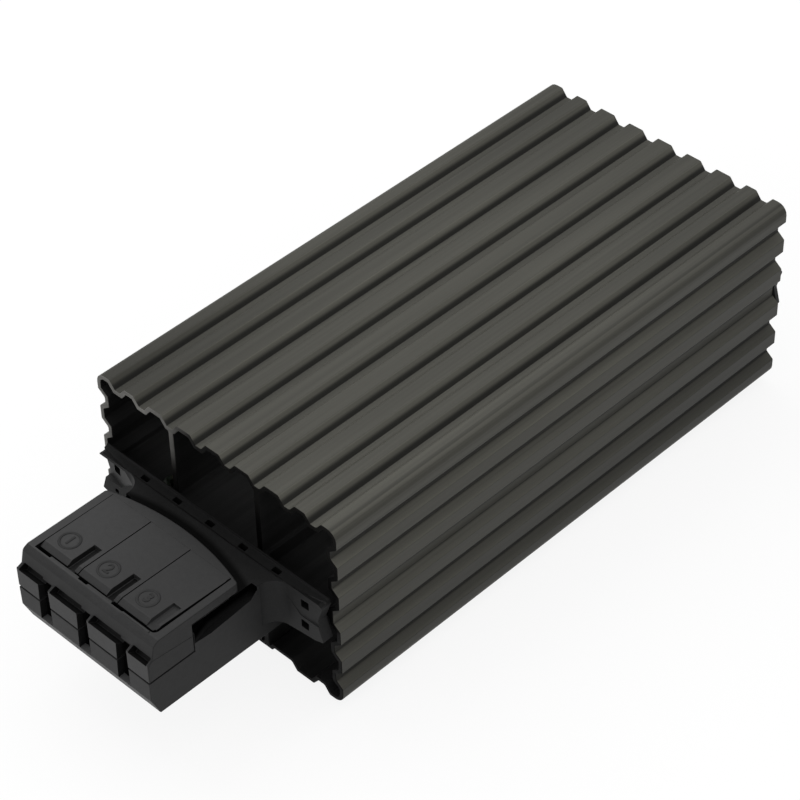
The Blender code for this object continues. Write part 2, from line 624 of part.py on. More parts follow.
def make_base():
    """Lower moulding: the end plate, the floor of the terminal block and its three bays."""
    base = outline_solid("terminal_base", [block_side_outline()], BLOCK_WIDTH, 'YZ', spec=BLACK_PLASTIC)
    plate_y = (PLATE_FRONT + PLATE_BACK) / 2
    plate = outline_solid("base_plate", [end_plate_outline()], PLATE_THICKNESS, 'XZ', (0, plate_y, 0))
    join(base, plate)
    flare_low = MID_Z - PLATE_LOW_INNER + CLEARANCE
    flare_high = SHOULDER_Z - CLEARANCE
    flare_place = (0, 0, (flare_low + flare_high) / 2)
    join(base, outline_solid("base_flare", [flare_outline()], flare_high - flare_low, 'XY', flare_place))
    ledge_top = MID_Z + PLATE_TOP
    ledge_front = PLATE_FRONT + CLEARANCE
    ledge_back = PLATE_BACK - CLEARANCE / 2
    ledge = [
        (ledge_front, ledge_top - LEDGE_DEPTH),
        (ledge_back, ledge_top - LEDGE_DEPTH),
        (ledge_back, ledge_top + PLATE_LEDGE),
        (ledge_front, ledge_top + CLEARANCE / 2),
    ]
    ledge_width = 2 * (PLATE_HALF_WIDTH - PLATE_NOTCH)
    join(base, outline_solid("base_ledge", [ledge], ledge_width, 'YZ'))
    for side, sign in (("left", -1), ("right", 1)):
        outer = HALF_CHANNEL - CLEARANCE
        x_range = sorted((sign * outer, sign * (outer - SPIGOT_WIDTH)))
        y_range = (PLATE_BACK - OVERCUT, STACK_FRONT - CLEARANCE)
        height = CHANNEL_HEIGHT / 2 - CLEARANCE
        join(base, box(f"base_spigot_{side}", x_range, y_range, (MID_Z - height, MID_Z + height)))
    for side, centre in LEVER_CENTRES.items():
        x_range = (centre - BAY_HALF, centre + BAY_HALF)
        z_range = (FLOOR_Z, SHOULDER_Z + OVERCUT)
        cut(base, box(f"bay_{side}", x_range, (BAY_FRONT, BAY_BACK), z_range))
    tunnel_half = HALF_CHANNEL - 2 * CLEARANCE - SPIGOT_WIDTH
    tunnel_height = CHANNEL_HEIGHT / 2
    tunnel_y = (BAY_BACK - OVERCUT, PLATE_BACK + OVERCUT)
    tunnel_z = (MID_Z - tunnel_height, MID_Z + tunnel_height)
    cut(base, box("lead_tunnel", (-tunnel_half, tunnel_half), tunnel_y, tunnel_z))
    right_bay = LEVER_CENTRES["right"]
    niche_x = (tunnel_half - OVERCUT, right_bay + SLOT_OFFSET + 2 * LEAD_RADIUS)
    niche_y = (BAY_BACK - OVERCUT, NICHE_BACK)
    niche_z = (tunnel_z[0] + CLEARANCE, tunnel_z[1] - CLEARANCE)
    cut(base, box("lead_niche", niche_x, niche_y, niche_z))
    low_x, high_x = sorted((EARTH_HOLE_X, EARTH_START_X))
    niche_x = (low_x - LEAD_HOLE_RADIUS, high_x + LEAD_HOLE_RADIUS)
    niche_z = (EARTH_HOLE_Z - LEAD_HOLE_RADIUS, EARTH_HOLE_Z + LEAD_HOLE_RADIUS)
    cut(base, box("earth_niche", niche_x, niche_y, niche_z))
    hole_start = NICHE_BACK - OVERCUT
    hole_length = PLATE_BACK + OVERCUT - hole_start
    hole_place = (EARTH_HOLE_X, hole_start + hole_length / 2, EARTH_HOLE_Z)
    cut(base, cylinder("earth_lead_hole", hole_place, LEAD_HOLE_RADIUS, hole_length, 'Y', segments=20))
    make_slots(base, "base", MID_Z + SLOT_BOTTOM, COVER_BOTTOM)
    first = -(LEDGE_HOLE_COUNT - 1) / 2
    for number in range(LEDGE_HOLE_COUNT):
        x = (first + number) * LEDGE_HOLE_PITCH
        y = PLATE_FRONT + PLATE_THICKNESS / 2
        half = LEDGE_HOLE / 2
        z_range = (ledge_top - LEDGE_HOLE / 2, ledge_top + LEDGE_HOLE)
        cut(base, box(f"ledge_hole_{number}", (x - half, x + half), (y - half / 2, y + half / 2), z_range))
    for side, sign in (("left", -1), ("right", 1)):
        for level, z in (("high", MID_Z + BOSS_HOLE_RISE), ("low", MID_Z - BOSS_HOLE_FALL)):
            x = sign * BOSS_HOLE_OFFSET
            half = BOSS_HOLE / 2
            y_range = (PLATE_FRONT - OVERCUT, PLATE_FRONT + PLATE_THICKNESS / 2)
            cut(base, box(f"boss_hole_{side}_{level}", (x - half, x + half), y_range, (z - half, z + half)))


def cover_front_outline():
    """Side view of the cover's front: the leaning face and the row of blocks proud of it."""
    face = BLOCK_FRONT + TIER_PROUD
    top_edge = face + FACE_LEAN
    return [
        (BLOCK_FRONT, COVER_BOTTOM),
        (SHOULDER_Y - CLEARANCE, COVER_BOTTOM),
        (SHOULDER_Y - CLEARANCE, COVER_TOP),
        (top_edge + FACE_ROUND, COVER_TOP),
        (top_edge + FACE_ROUND / 3, COVER_TOP - FACE_ROUND / 4),
        (top_edge, COVER_TOP - FACE_ROUND / 2),
        (face, TIER_Z + TIER_PROUD / 2),
        (BLOCK_FRONT, TIER_Z),
    ]


def cover_plan(half_width, side_reach, arc_reach, front):
    """Plan of the cover behind its front, with a bowed rear edge, as a closed loop."""
    side_y = FRONT_Y - side_reach
    bow = side_reach - arc_reach
    radius = (half_width ** 2 + bow ** 2) / (2 * bow)
    span = math.degrees(math.asin(half_width / radius))
    curve = arc((0, side_y + bow - radius), radius, 90 - span, 90 + span, 14)
    return [(half_width, front)] + curve + [(-half_width, front)]


def make_cover():
    """Upper moulding: a frame round the levers, a bowed rear edge over a neck, and the front blocks."""
    cover = outline_solid("terminal_cover", [cover_front_outline()], BLOCK_WIDTH, 'YZ', spec=BLACK_PLASTIC)
    overlap_y = SHOULDER_Y - BLOCK_FLOOR
    roof = cover_plan(HALF_BLOCK, COVER_SIDE_REACH, COVER_ARC_REACH, overlap_y)
    roof_place = (0, 0, COVER_TOP - COVER_THICKNESS / 2)
    join(cover, outline_solid("cover_roof", [roof], COVER_THICKNESS, 'XY', roof_place))
    inset = NECK_INSET
    neck = cover_plan(HALF_BLOCK - inset, COVER_SIDE_REACH + inset, COVER_ARC_REACH + inset, overlap_y)
    neck_low = SHOULDER_Z + CLEARANCE
    neck_high = COVER_UNDERSIDE + CLEARANCE
    neck_place = (0, 0, (neck_low + neck_high) / 2)
    join(cover, outline_solid("cover_neck", [neck], neck_high - neck_low, 'XY', neck_place))
    opening_z = (COVER_UNDERSIDE - CLEARANCE, COVER_TOP + OVERCUT)
    opening_x = (-OPENING_HALF, OPENING_HALF)
    cut(cover, box("lever_opening", opening_x, (OPENING_FRONT, OPENING_BACK), opening_z))
    cavity_z = (COVER_BOTTOM - OVERCUT, COVER_UNDERSIDE)
    cavity_back = OPENING_BACK - CAVITY_BACK_WALL
    cut(cover, box("cover_cavity", opening_x, (OPENING_FRONT, cavity_back), cavity_z))
    groove = [
        (BLOCK_FRONT + CLEARANCE / 2, TIER_Z + CLEARANCE),
        (BLOCK_FRONT + GROOVE_WIDTH, TIER_Z - GROOVE_DEPTH),
        (BLOCK_FRONT + GROOVE_WIDTH, TIER_Z + CLEARANCE),
        (BLOCK_FRONT + TIER_PROUD, TIER_Z + TIER_PROUD / 2),
        (BLOCK_FRONT - OVERCUT, TIER_Z + TIER_PROUD / 2),
    ]
    groove_width = BLOCK_WIDTH - 2 * GROOVE_END
    cut(cover, outline_solid("front_groove", [groove], groove_width, 'YZ'))
    make_slots(cover, "cover", MID_Z + BLOCK_PARTING, TIER_Z + CLEARANCE)


def make_lever(side):
    """One press lever: its rear edge is the hinge, its front end is bevelled and notched."""
    centre = LEVER_CENTRES[side]
    back = LEVER_BACK - HINGE_Y
    front = LEVER_FRONT - HINGE_Y
    top = COVER_TOP - HINGE_Z
    under = top - LEVER_THICKNESS
    tip_under = top - LEVER_TIP_THICKNESS
    tip_back = front + LEVER_TIP_LENGTH
    outline = [
        (back, under),
        (back, top),
        (front + LEVER_BEVEL_LENGTH, top),
        (front, top - LEVER_BEVEL_DROP),
        (front, tip_under),
        (tip_back, tip_under),
        (tip_back + LEVER_FOOT_WIDTH, under),
    ]
    name = f"press_lever_{side}"
    place = (centre, HINGE_Y, HINGE_Z)
    lever = outline_solid(name, [outline], 2 * LEVER_HALF_WIDTH, 'YZ', place, BLACK_PLASTIC)
    foot_x = centre + SLOT_OFFSET
    foot_y = LEVER_FRONT + LEVER_TIP_LENGTH + LEVER_FOOT_WIDTH
    foot_z = COVER_TOP - LEVER_THICKNESS
    x_range = (foot_x - SPRING_WIDTH / 2, foot_x + SPRING_WIDTH / 2)
    y_range = (foot_y, foot_y + LEVER_FOOT_WIDTH)
    join(lever, box(f"lever_foot_{side}", x_range, y_range, (foot_z - LEVER_FOOT_DEPTH, foot_z + CLEARANCE)))
    edge = centre + LEVER_HALF_WIDTH - LEVER_NOTCH_MARGIN
    wall = edge - LEVER_NOTCH_WIDTH
    low = COVER_TOP - LEVER_NOTCH_DEPTH
    notch = [
        (wall, COVER_TOP + CLEARANCE),
        (wall + LEVER_NOTCH_SLOPE, low),
        (edge, low),
        (edge, COVER_TOP + CLEARANCE),
    ]
    length = LEVER_NOTCH_LENGTH + OVERCUT
    notch_place = (0, LEVER_FRONT + LEVER_NOTCH_LENGTH - length / 2, 0)
    cut(lever, outline_solid(f"lever_notch_{side}", [notch], length, 'XZ', notch_place))


def make_clamp(side):
    """The contact bar in a bay and the clamp spring that stands on it."""
    x = LEVER_CENTRES[side] + SLOT_OFFSET
    bar_path = [(BAY_FRONT + BAR_SETBACK, BAR_Z), (BAR_BACK, BAR_Z), (BAR_BACK, BAR_TOP)]
    outline = strip(bar_path, BAR_THICKNESS)
    outline_solid(f"contact_bar_{side}", [outline], BAR_WIDTH, 'YZ', (x, 0, 0), TINNED_BRASS)
    back = BAR_BACK - LEAD_RADIUS - CLEARANCE - SPRING_THICKNESS / 2
    low = SPRING_LOW
    top = low + SPRING_RISE
    loop = arc((back - SPRING_RADIUS, top), SPRING_RADIUS, 0, 165, 10)
    end_y = BAY_FRONT + SPRING_SETBACK
    spring_path = [(back, low)] + loop + [(end_y, low + SPRING_THICKNESS)]
    outline = strip(spring_path, SPRING_THICKNESS)
    outline_solid(f"clamp_spring_{side}", [outline], SPRING_WIDTH, 'YZ', (x, 0, 0), SPRING_STEEL)


def smooth_route(points, steps=4):
    """Points along a smooth curve through the route's own points."""
    route = [Vector(point) for point in points]
    padded = [2 * route[0] - route[1]] + route + [2 * route[-1] - route[-2]]
    result = []
    for number in range(1, len(padded) - 2):
        before, start, end, after = padded[number - 1:number + 3]
        for step in range(steps):
            t = step / steps
            blend = 2 * start + (end - before) * t
            blend += (2 * before - 5 * start + 4 * end - after) * t ** 2
            blend += (3 * start - before - 3 * end + after) * t ** 3
            result.append(blend / 2)
    return result + [route[-1]]


def make_lead(name, route, spec):
    """An insulated lead along its route."""
    points = smooth_route(route)
    curve = bpy.data.curves.new(name, 'CURVE')
    curve.dimensions = '3D'
    curve.bevel_depth = LEAD_RADIUS
    curve.bevel_resolution = 2
    curve.use_fill_caps = True
    spline = curve.splines.new('POLY')
    spline.points.add(len(points) - 1)
    for point, place in zip(spline.points, points):
        point.co = (*place, 1)
    add_object(name, curve, spec)


def make_leads():
    """Leads from the tops of the contact bars to the element's tabs and the earth tag."""
    start_z = BAR_TOP + CLEARANCE
    rise = MID_Z + LEAD_RADIUS
    tab_y = STACK_FRONT - TAB_LENGTH - CLEARANCE
    throat = BAY_BACK + LEAD_RADIUS
    turn_end = NICHE_BACK - LEAD_RADIUS
    tab_places = {
        "middle": (TAB_OFFSET_LOWER, MID_Z - ELECTRODE_Z),
        "right": (TAB_OFFSET_UPPER, MID_Z + ELECTRODE_Z),
    }
    leads = (("middle", "lead_live", LEAD_BROWN), ("right", "lead_neutral", LEAD_BLUE))
    for side, name, spec in leads:
        x = LEVER_CENTRES[side] + SLOT_OFFSET
        tab_x, tab_z = tab_places[side]
        inner_x = x if side == "middle" else x - LEAD_RADIUS
        route = [
            (x, BAR_BACK, start_z),
            (x, BAR_BACK, start_z + LEAD_RADIUS),
            (inner_x, throat, rise),
            (tab_x, turn_end, (rise + tab_z) / 2),
            (tab_x, tab_y - 2 * LEAD_RADIUS, tab_z),
            (tab_x, tab_y, tab_z),
        ]
        make_lead(name, route, spec)
    x = EARTH_START_X
    tag_end = TAG_Y - TAG_RADIUS - CLEARANCE - LEAD_RADIUS
    route = [
        (x, BAR_BACK, start_z),
        (x, BAR_BACK, (start_z + EARTH_HOLE_Z) / 2),
        (x, BAR_BACK + LEAD_BEND / 3, EARTH_HOLE_Z - CLEARANCE),
        (x, throat, EARTH_HOLE_Z),
        (EARTH_HOLE_X, turn_end, EARTH_HOLE_Z),
        (EARTH_HOLE_X, (turn_end + FRONT_Y) / 2, EARTH_HOLE_Z),
        (EARTH_HOLE_X, FRONT_Y + CLEARANCE, EARTH_HOLE_Z),
        (TAG_X, tag_end - 2 * LEAD_RADIUS, EARTH_HOLE_Z),
        (TAG_X, tag_end, EARTH_HOLE_Z),
    ]
    make_lead("lead_earth", route, LEAD_GREEN)


def make_earth_point():
    """The ring tag on the side web and the screw that holds it."""
    ring = arc((0, 0), TAG_RADIUS, 0, 345, 23)
    hole = arc((0, 0), SCREW_RADIUS + CLEARANCE, 0, 340, 17)
    outline_solid("earth_tag", [ring, hole], TAG_THICKNESS, 'XY', (TAG_X, TAG_Y, TAG_Z), TINNED_BRASS)
    seat = TAG_Z + TAG_THICKNESS / 2 + CLEARANCE
    shank = 3 * WEB
    dome = SCREW_HEAD_HEIGHT / 3
    profile = [
        (0, SCREW_HEAD_HEIGHT),
        (SCREW_HEAD_RADIUS - dome, SCREW_HEAD_HEIGHT),
        (SCREW_HEAD_RADIUS - dome / 3, SCREW_HEAD_HEIGHT - dome / 3),
        (SCREW_HEAD_RADIUS, SCREW_HEAD_HEIGHT - dome),
        (SCREW_HEAD_RADIUS, 0),
        (SCREW_RADIUS, 0),
        (SCREW_RADIUS, -shank),
        (0, -shank),
    ]
    screw = turned("earth_screw", profile, (TAG_X, TAG_Y, seat), ZINC_STEEL)
    head_top = seat + SCREW_HEAD_HEIGHT
    x_range = (TAG_X - SCREW_HEAD_RADIUS - OVERCUT, TAG_X + SCREW_HEAD_RADIUS + OVERCUT)
    y_range = (TAG_Y - SCREW_SLOT_WIDTH / 2, TAG_Y + SCREW_SLOT_WIDTH / 2)
    cut(screw, box("earth_screw_slot", x_range, y_range, (head_top - SCREW_SLOT_DEPTH, head_top + OVERCUT)))


def make_element():
    """The heating element: ceramic chips in a frame, between electrodes and insulating films."""
    pitch = STACK_LENGTH / CHIP_COUNT
    chip_length = pitch - CHIP_SPACING
    half_chip = CHIP_WIDTH / 2
    windows = []
    for number in range(CHIP_COUNT):
        y = STACK_FRONT + pitch * (number + 0.5)
        y_range = (y - chip_length / 2, y + chip_length / 2)
        z_range = (MID_Z - CHIP_THICKNESS / 2, MID_Z + CHIP_THICKNESS / 2)
        box(f"ptc_element_{number + 1}", (-half_chip, half_chip), y_range, z_range, HEATER_CERAMIC)
        edge = half_chip + CLEARANCE
        low, high = y_range[0] - CLEARANCE, y_range[1] + CLEARANCE
        windows.append([(-edge, low), (edge, low), (edge, high), (-edge, high)])
    half = ELECTRODE_HALF
    rim = [(-half, STACK_FRONT), (half, STACK_FRONT), (half, STACK_BACK), (-half, STACK_BACK)]
    outline_solid("ptc_frame", [rim] + windows, FRAME_THICKNESS, 'XY', (0, 0, MID_Z), FRAME_PLASTIC)
    film = HALF_CHANNEL - CLEARANCE
    for level, sign, tab_x in (("lower", -1, TAB_OFFSET_LOWER), ("upper", 1, TAB_OFFSET_UPPER)):
        z = MID_Z + sign * ELECTRODE_Z
        tab = TAB_WIDTH / 2
        tab_end = STACK_FRONT - TAB_LENGTH
        sheet = [
            (-half, STACK_FRONT), (tab_x - tab, STACK_FRONT), (tab_x - tab, tab_end), (tab_x + tab, tab_end),
            (tab_x + tab, STACK_FRONT), (half, STACK_FRONT), (half, STACK_BACK), (-half, STACK_BACK),
        ]
        outline_solid(f"electrode_{level}", [sheet], ELECTRODE_THICKNESS, 'XY', (0, 0, z), SHEET_ALUMINIUM)
        z = MID_Z + sign * INSULATION_Z
        z_range = (z - INSULATION_THICKNESS / 2, z + INSULATION_THICKNESS / 2)
        box(f"insulation_{level}", (-film, film), (STACK_FRONT, STACK_BACK), z_range, INSULATING_FILM)


def make_rear_cap():
    """The flat cap on the rear of the profile, with a plug in the element's channel."""
    edge = CAP_HALF_WIDTH
    half = [
        (edge * 0.64, MID_Z - CAP_MIDDLE_FALL),
        (edge - 2 * CAP_NOTCH, MID_Z - CAP_FALL - CAP_NOTCH),
        (edge, MID_Z - CAP_FALL),
        (edge - CAP_NOTCH, MID_Z),
        (edge, MID_Z + CAP_RISE - CAP_CORNER_CUT / 2),
        (edge - CAP_CORNER_CUT, MID_Z + CAP_RISE),
    ]
    thickness = CAP_PROUD - CLEARANCE
    place = (0, REAR_Y + CLEARANCE + thickness / 2, 0)
    cap = outline_solid("rear_cap", [mirrored(half)], thickness, 'XZ', place, BLACK_PLASTIC)
    plug_half = HALF_CHANNEL - CLEARANCE
    plug_height = CHANNEL_HEIGHT / 2 - CLEARANCE
    plug_y = (REAR_Y - CAP_PLUG_LENGTH, REAR_Y + CLEARANCE + thickness / 2)
    join(cap, box("cap_plug", (-plug_half, plug_half), plug_y, (MID_Z - plug_height, MID_Z + plug_height)))


def rivet_places():
    """Where the clip's two rivets stand along the profile."""
    return (MIDDLE_Y - RIVET_SPACING / 2, MIDDLE_Y + RIVET_SPACING / 2)


def sunk_shape(clearance):
    """Profile of a rivet's sunk head, from its top to its flat face, with room round it for a hole."""
    return [
        (RIVET_RADIUS + clearance, RIVET_SINK + clearance),
        (RIVET_HEAD_RADIUS + clearance, 0),
    ]


def make_rivet(name, y, face_z):
    """A rivet with its head sunk flush in the clip and its tail set on the inside of the profile's base."""
    tail_low = BASE_Z + PAD_DEPTH + WALL + CLEARANCE - face_z
    tail_high = tail_low + RIVET_TAIL_HEIGHT
    chamfer = RIVET_TAIL_HEIGHT / 3
    profile = [
        (0, tail_high),
        (RIVET_TAIL_RADIUS - chamfer, tail_high),
        (RIVET_TAIL_RADIUS, tail_high - chamfer),
        (RIVET_TAIL_RADIUS, tail_low),
        (RIVET_RADIUS, tail_low),
    ]
    profile += sunk_shape(0.0) + [(0, 0)]
    turned(name, profile, (0, y, face_z), ZINC_STEEL)


def make_rail_clip():
    """The sheet-steel clip that snaps over the two edges of a 35 mm mounting rail."""
    half = RAIL_WIDTH / 2 + CLEARANCE + CLIP_THICKNESS / 2
    lip_z = CLIP_THICKNESS / 2
    path = [
        (MIDDLE_Y - half + CLIP_HOOK, lip_z),
        (MIDDLE_Y - half, lip_z),
        (MIDDLE_Y - half, CLIP_Z),
        (MIDDLE_Y + half, CLIP_Z),
        (MIDDLE_Y + half, lip_z),
        (MIDDLE_Y + half - CLIP_HOOK, lip_z),
    ]
    clip = outline_solid("rail_clip", [strip(path, CLIP_THICKNESS)], CLIP_WIDTH, 'YZ', spec=SPRING_STEEL)
    underside = CLIP_Z - CLIP_THICKNESS / 2
    for name, y in zip(("front", "rear"), rivet_places()):
        face_z = underside + RIVET_RECESS
        top_z = CLIP_THICKNESS + OVERCUT
        narrow = RIVET_RADIUS + CLEARANCE
        wide = RIVET_HEAD_RADIUS + CLEARANCE
        hole = [(0, top_z), (narrow, top_z)] + sunk_shape(CLEARANCE) + [(wide, -OVERCUT), (0, -OVERCUT)]
        cut(clip, turned(f"clip_hole_{name}", hole, (0, y, face_z)))
        make_rivet(f"clip_rivet_{name}", y, face_z)


def shade_round_pieces():
    """Smooth shading on turned and bent pieces, with their real edges kept sharp."""
    round_pieces = ("clamp_spring", "earth_screw", "clip_rivet", "earth_tag")
    for obj in PARTS.objects:
        if obj.type == 'MESH' and obj.name.startswith(round_pieces):
            obj.data.shade_smooth()
            obj.data.set_sharp_from_angle(angle=math.radians(35))


make_profile()
make_base()
make_cover()
for lever_side in SIDES:
    make_lever(lever_side)
    make_clamp(lever_side)
make_leads()
make_earth_point()
make_element()
make_rear_cap()
make_rail_clip()
shade_round_pieces()
bpy.context.view_layer.update()
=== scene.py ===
"""Looks of the enclosure heater: detailed pieces, materials, studio light and camera.

Shapes are written in millimetres in the part's own frame and scaled to metres when a piece is finished.
"""

import math
from contextlib import contextmanager

import bmesh
import bpy
from mathutils import Matrix, Vector
from mathutils.geometry import tessellate_polygon


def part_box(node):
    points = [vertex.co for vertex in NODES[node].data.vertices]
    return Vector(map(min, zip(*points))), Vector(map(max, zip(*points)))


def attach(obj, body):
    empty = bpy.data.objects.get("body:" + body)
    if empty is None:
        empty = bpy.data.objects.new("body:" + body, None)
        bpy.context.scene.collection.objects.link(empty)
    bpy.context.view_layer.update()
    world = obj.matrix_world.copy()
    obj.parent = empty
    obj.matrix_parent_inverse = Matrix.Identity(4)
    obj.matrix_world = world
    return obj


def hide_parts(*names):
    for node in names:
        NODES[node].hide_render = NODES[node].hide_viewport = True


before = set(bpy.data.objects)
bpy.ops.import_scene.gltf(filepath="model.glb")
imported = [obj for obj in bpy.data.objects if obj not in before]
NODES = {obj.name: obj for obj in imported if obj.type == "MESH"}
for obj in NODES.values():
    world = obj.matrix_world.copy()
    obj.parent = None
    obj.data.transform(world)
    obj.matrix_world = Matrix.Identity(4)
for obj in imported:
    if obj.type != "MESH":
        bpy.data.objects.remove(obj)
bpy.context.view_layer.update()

PER_METRE = 1000

# Places in mm: the profile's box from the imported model, and the block's and levers' places beside it
LOW, HIGH = (corner * PER_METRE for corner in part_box("heatsink_profile"))
FRONT = LOW.y
REAR = HIGH.y
BASE = LOW.z
MID = (LOW.z + HIGH.z) / 2
BLOCK_FRONT = FRONT - 36.9
HALF_BLOCK = 19.6
SHOULDER = FRONT - 24.7
HINGE = FRONT - 12.45
LEVER_FRONT = FRONT - 32.0
PLATE_BACK = FRONT - 0.3
PLATE_FRONT = PLATE_BACK - 2.7
PLATE_EDGE = 33.25
PLATE_TOP = MID + 5.2
COVER_TOP = MID + 9.6
COVER_UNDER = MID + 7.5
COVER_LOW = MID + 0.1
BASE_PARTING = MID - 0.4
BASE_LOW = MID - 10.1
SHOULDER_TOP = MID + 5.0
PITCH = 11.7
SIDES = {"left": -PITCH, "middle": 0.0, "right": PITCH}
LEVER_HALF = 5.74
SLOT_SHIFT = 0.1
SLOT_SILL = MID - 5.3
SLOT_DEEP = MID - 7.2
SLOT_HEIGHT = 10.9

# Where the profile's top corrugation and its side corrugation lie
CROWN = MID + 17
TOP_RIDGES = MID + 21.5
SIDE_RIDGES = 20.6

# Points within this of a node's end lie on the end, in mm
END_DEPTH = 0.005
# Corners flatter than this are no corners, in degrees: in a CAD outline, in a mesh and for rounding
STRAIGHT = 0.3
FLAT = 0.4
FLATTEST_CORNER = 20.0
# The most of a side's length that the rounding of its corner takes
MOST_OF_SIDE = 0.45
# The room beside an edge that its rounding needs, in widths of the rounding
ROOM = 2.1
# A rounding that keeps the finish of the faces beside it
KEEP = -1
# Points closer than this are merged, in mm
WELD = 0.002
# Depth of a fine bump and of saw marks, in metres
FINE_BUMP = 0.00003
SAW_BUMP = 0.00004


# ---------------------------------------------------------------- shapes

def link(name, data):
    obj = bpy.data.objects.new(name, data)
    bpy.context.scene.collection.objects.link(obj)
    return obj


def to_mesh(name, bm):
    bmesh.ops.recalc_face_normals(bm, faces=bm.faces)
    mesh = bpy.data.meshes.new(name)
    bm.to_mesh(mesh)
    bm.free()
    return mesh


@contextmanager
def edited(mesh):
    """A mesh opened for editing, and written back afterwards."""
    bm = bmesh.new()
    bm.from_mesh(mesh)
    yield bm
    bm.to_mesh(mesh)
    bm.free()


def prism(name, loop, low, high, axis):
    """A flat outline pulled out along an axis; the outline holds the other two coordinates in order."""
    place = {
        'X': lambda u, v, w: (w, u, v),
        'Y': lambda u, v, w: (u, w, v),
        'Z': lambda u, v, w: (u, v, w),
    }[axis]
    bm = bmesh.new()
    rings = [[bm.verts.new(place(u, v, w)) for u, v in loop] for w in (low, high)]
    for ring in rings:
        bm.faces.new(ring)
    count = len(loop)
    for number in range(count):
        after = (number + 1) % count
        bm.faces.new((rings[0][number], rings[0][after], rings[1][after], rings[1][number]))
    return paint(link(name, to_mesh(name, bm)), PLAIN)


def paint(obj, index, choose=None):
    """Give faces one of the plastic's finishes; choose picks them by middle point and direction."""
    if not obj.data.materials:
        for mat in PLASTICS:
            obj.data.materials.append(mat)
    for face in obj.data.polygons:
        if choose is None or choose(face.center, face.normal):
            face.material_index = index
    return obj


def block(name, x_range, y_range, z_range):
    (left, right), (near, far) = x_range, y_range
    return prism(name, [(left, near), (right, near), (right, far), (left, far)], *z_range, 'Z')


def rectangle(centre, half_width, half_height):
    x, y = centre
    return [
        (x - half_width, y - half_height), (x + half_width, y - half_height),
        (x + half_width, y + half_height), (x - half_width, y + half_height),
    ]


def arc(centre, radius, start, end, steps):
    angles = [math.radians(start + (end - start) * step / steps) for step in range(steps + 1)]
    return [(centre[0] + radius * math.cos(a), centre[1] + radius * math.sin(a)) for a in angles]


def mirrored(half):
    return half + [(-x, z) for x, z in reversed(half) if abs(x) > 1e-9]


def corners(loop):
    """Each point of an outline between the points before and after it."""
    for number, point in enumerate(loop):
        yield Vector(loop[number - 1]), Vector(point), Vector(loop[(number + 1) % len(loop)])


def rounded(loop, radii, steps=5):
    """Round an outline's corners; radii is one number, or one for each corner."""
    if not isinstance(radii, (list, tuple)):
        radii = [radii] * len(loop)
    result = []
    for (before, corner, after), radius in zip(corners(loop), radii):
        before = before - corner
        after = after - corner
        turn = math.pi - before.angle(after)
        if radius <= 0 or math.degrees(turn) < FLATTEST_CORNER:
            result.append(tuple(corner))
            continue
        reach = min(radius * math.tan(turn / 2), MOST_OF_SIDE * before.length, MOST_OF_SIDE * after.length)
        radius = reach / math.tan(turn / 2)
        start = corner + before.normalized() * reach
        end = corner + after.normalized() * reach
        middle = (before.normalized() + after.normalized()).normalized()
        centre = corner + middle * (radius / math.cos(turn / 2))
        arm = start - centre
        goal = end - centre
        sweep = math.atan2(arm.x * goal.y - arm.y * goal.x, arm.dot(goal))
        for step in range(steps + 1):
            a = sweep * step / steps
            result.append((
                centre.x + arm.x * math.cos(a) - arm.y * math.sin(a),
                centre.y + arm.x * math.sin(a) + arm.y * math.cos(a),
            ))
    return result


def combine(obj, helpers, operation):
    """Cut helpers from a piece, join them on, or keep what it shares with them; the helpers go."""
    if not isinstance(helpers, (list, tuple)):
        helpers = [helpers]
    for helper in helpers:
        boolean = obj.modifiers.new(helper.name, 'BOOLEAN')
        boolean.operation = operation
        boolean.solver = 'EXACT'
        boolean.object = helper
    mesh = evaluated(obj)
    obj.modifiers.clear()
    obj.data = mesh
    for helper in helpers:
        bpy.data.objects.remove(helper, do_unlink=True)
    return obj


def evaluated(obj):
    """The mesh that an object shows, with its modifiers."""
    bpy.context.view_layer.update()
    return bpy.data.meshes.new_from_object(obj.evaluated_get(bpy.context.evaluated_depsgraph_get()))


def clean(obj):
    """Merge doubled points and take out edges that lie in flat faces."""
    with edited(obj.data) as bm:
        bmesh.ops.remove_doubles(bm, verts=bm.verts, dist=WELD)
        bmesh.ops.dissolve_degenerate(bm, edges=bm.edges, dist=WELD)
        bmesh.ops.dissolve_limit(bm, angle_limit=math.radians(FLAT), verts=bm.verts, edges=bm.edges)


def room_beside(edge):
    """The least distance from an edge across its two faces to their other edges."""
    least = math.inf
    for loop in edge.link_loops:
        start = loop.vert.co
        along = loop.link_loop_next.vert.co - start
        length = along.length
        along = along / length
        inward = loop.face.normal.cross(along)
        for other in loop.face.loops:
            if other.edge is edge:
                continue
            first = other.vert.co - start
            second = other.link_loop_next.vert.co - start
            x1, x2 = first.dot(along), second.dot(along)
            y1, y2 = first.dot(inward), second.dot(inward)
            for share in (0.04, 0.25, 0.5, 0.75, 0.96):
                x = share * length
                if (x1 - x) * (x2 - x) <= 0 and abs(x2 - x1) > 1e-6:
                    y = y1 + (y2 - y1) * (x - x1) / (x2 - x1)
                    if y > 1e-5:
                        least = min(least, y)
    return least


def soften(obj, width, segments=2, angle=30, shortest=0.0, choose=None, finish=KEEP):
    """Round a piece's sharp edges; choose picks them by their middle point, finish paints the rounding.

    Edges of strips too narrow for the rounding stay sharp.
    """
    with edited(obj.data) as bm:
        edges = []
        for edge in bm.edges:
            if len(edge.link_faces) != 2 or edge.calc_length() < shortest:
                continue
            if edge.calc_face_angle(0) < math.radians(angle):
                continue
            middle = (edge.verts[0].co + edge.verts[1].co) / 2
            if (choose is None or choose(middle, edge)) and room_beside(edge) > ROOM * width:
                edges.append(edge)
        bmesh.ops.bevel(
            bm, geom=edges, offset=width, offset_type='OFFSET', segments=segments, profile=0.5,
            affect='EDGES', clamp_overlap=False, material=finish,
        )


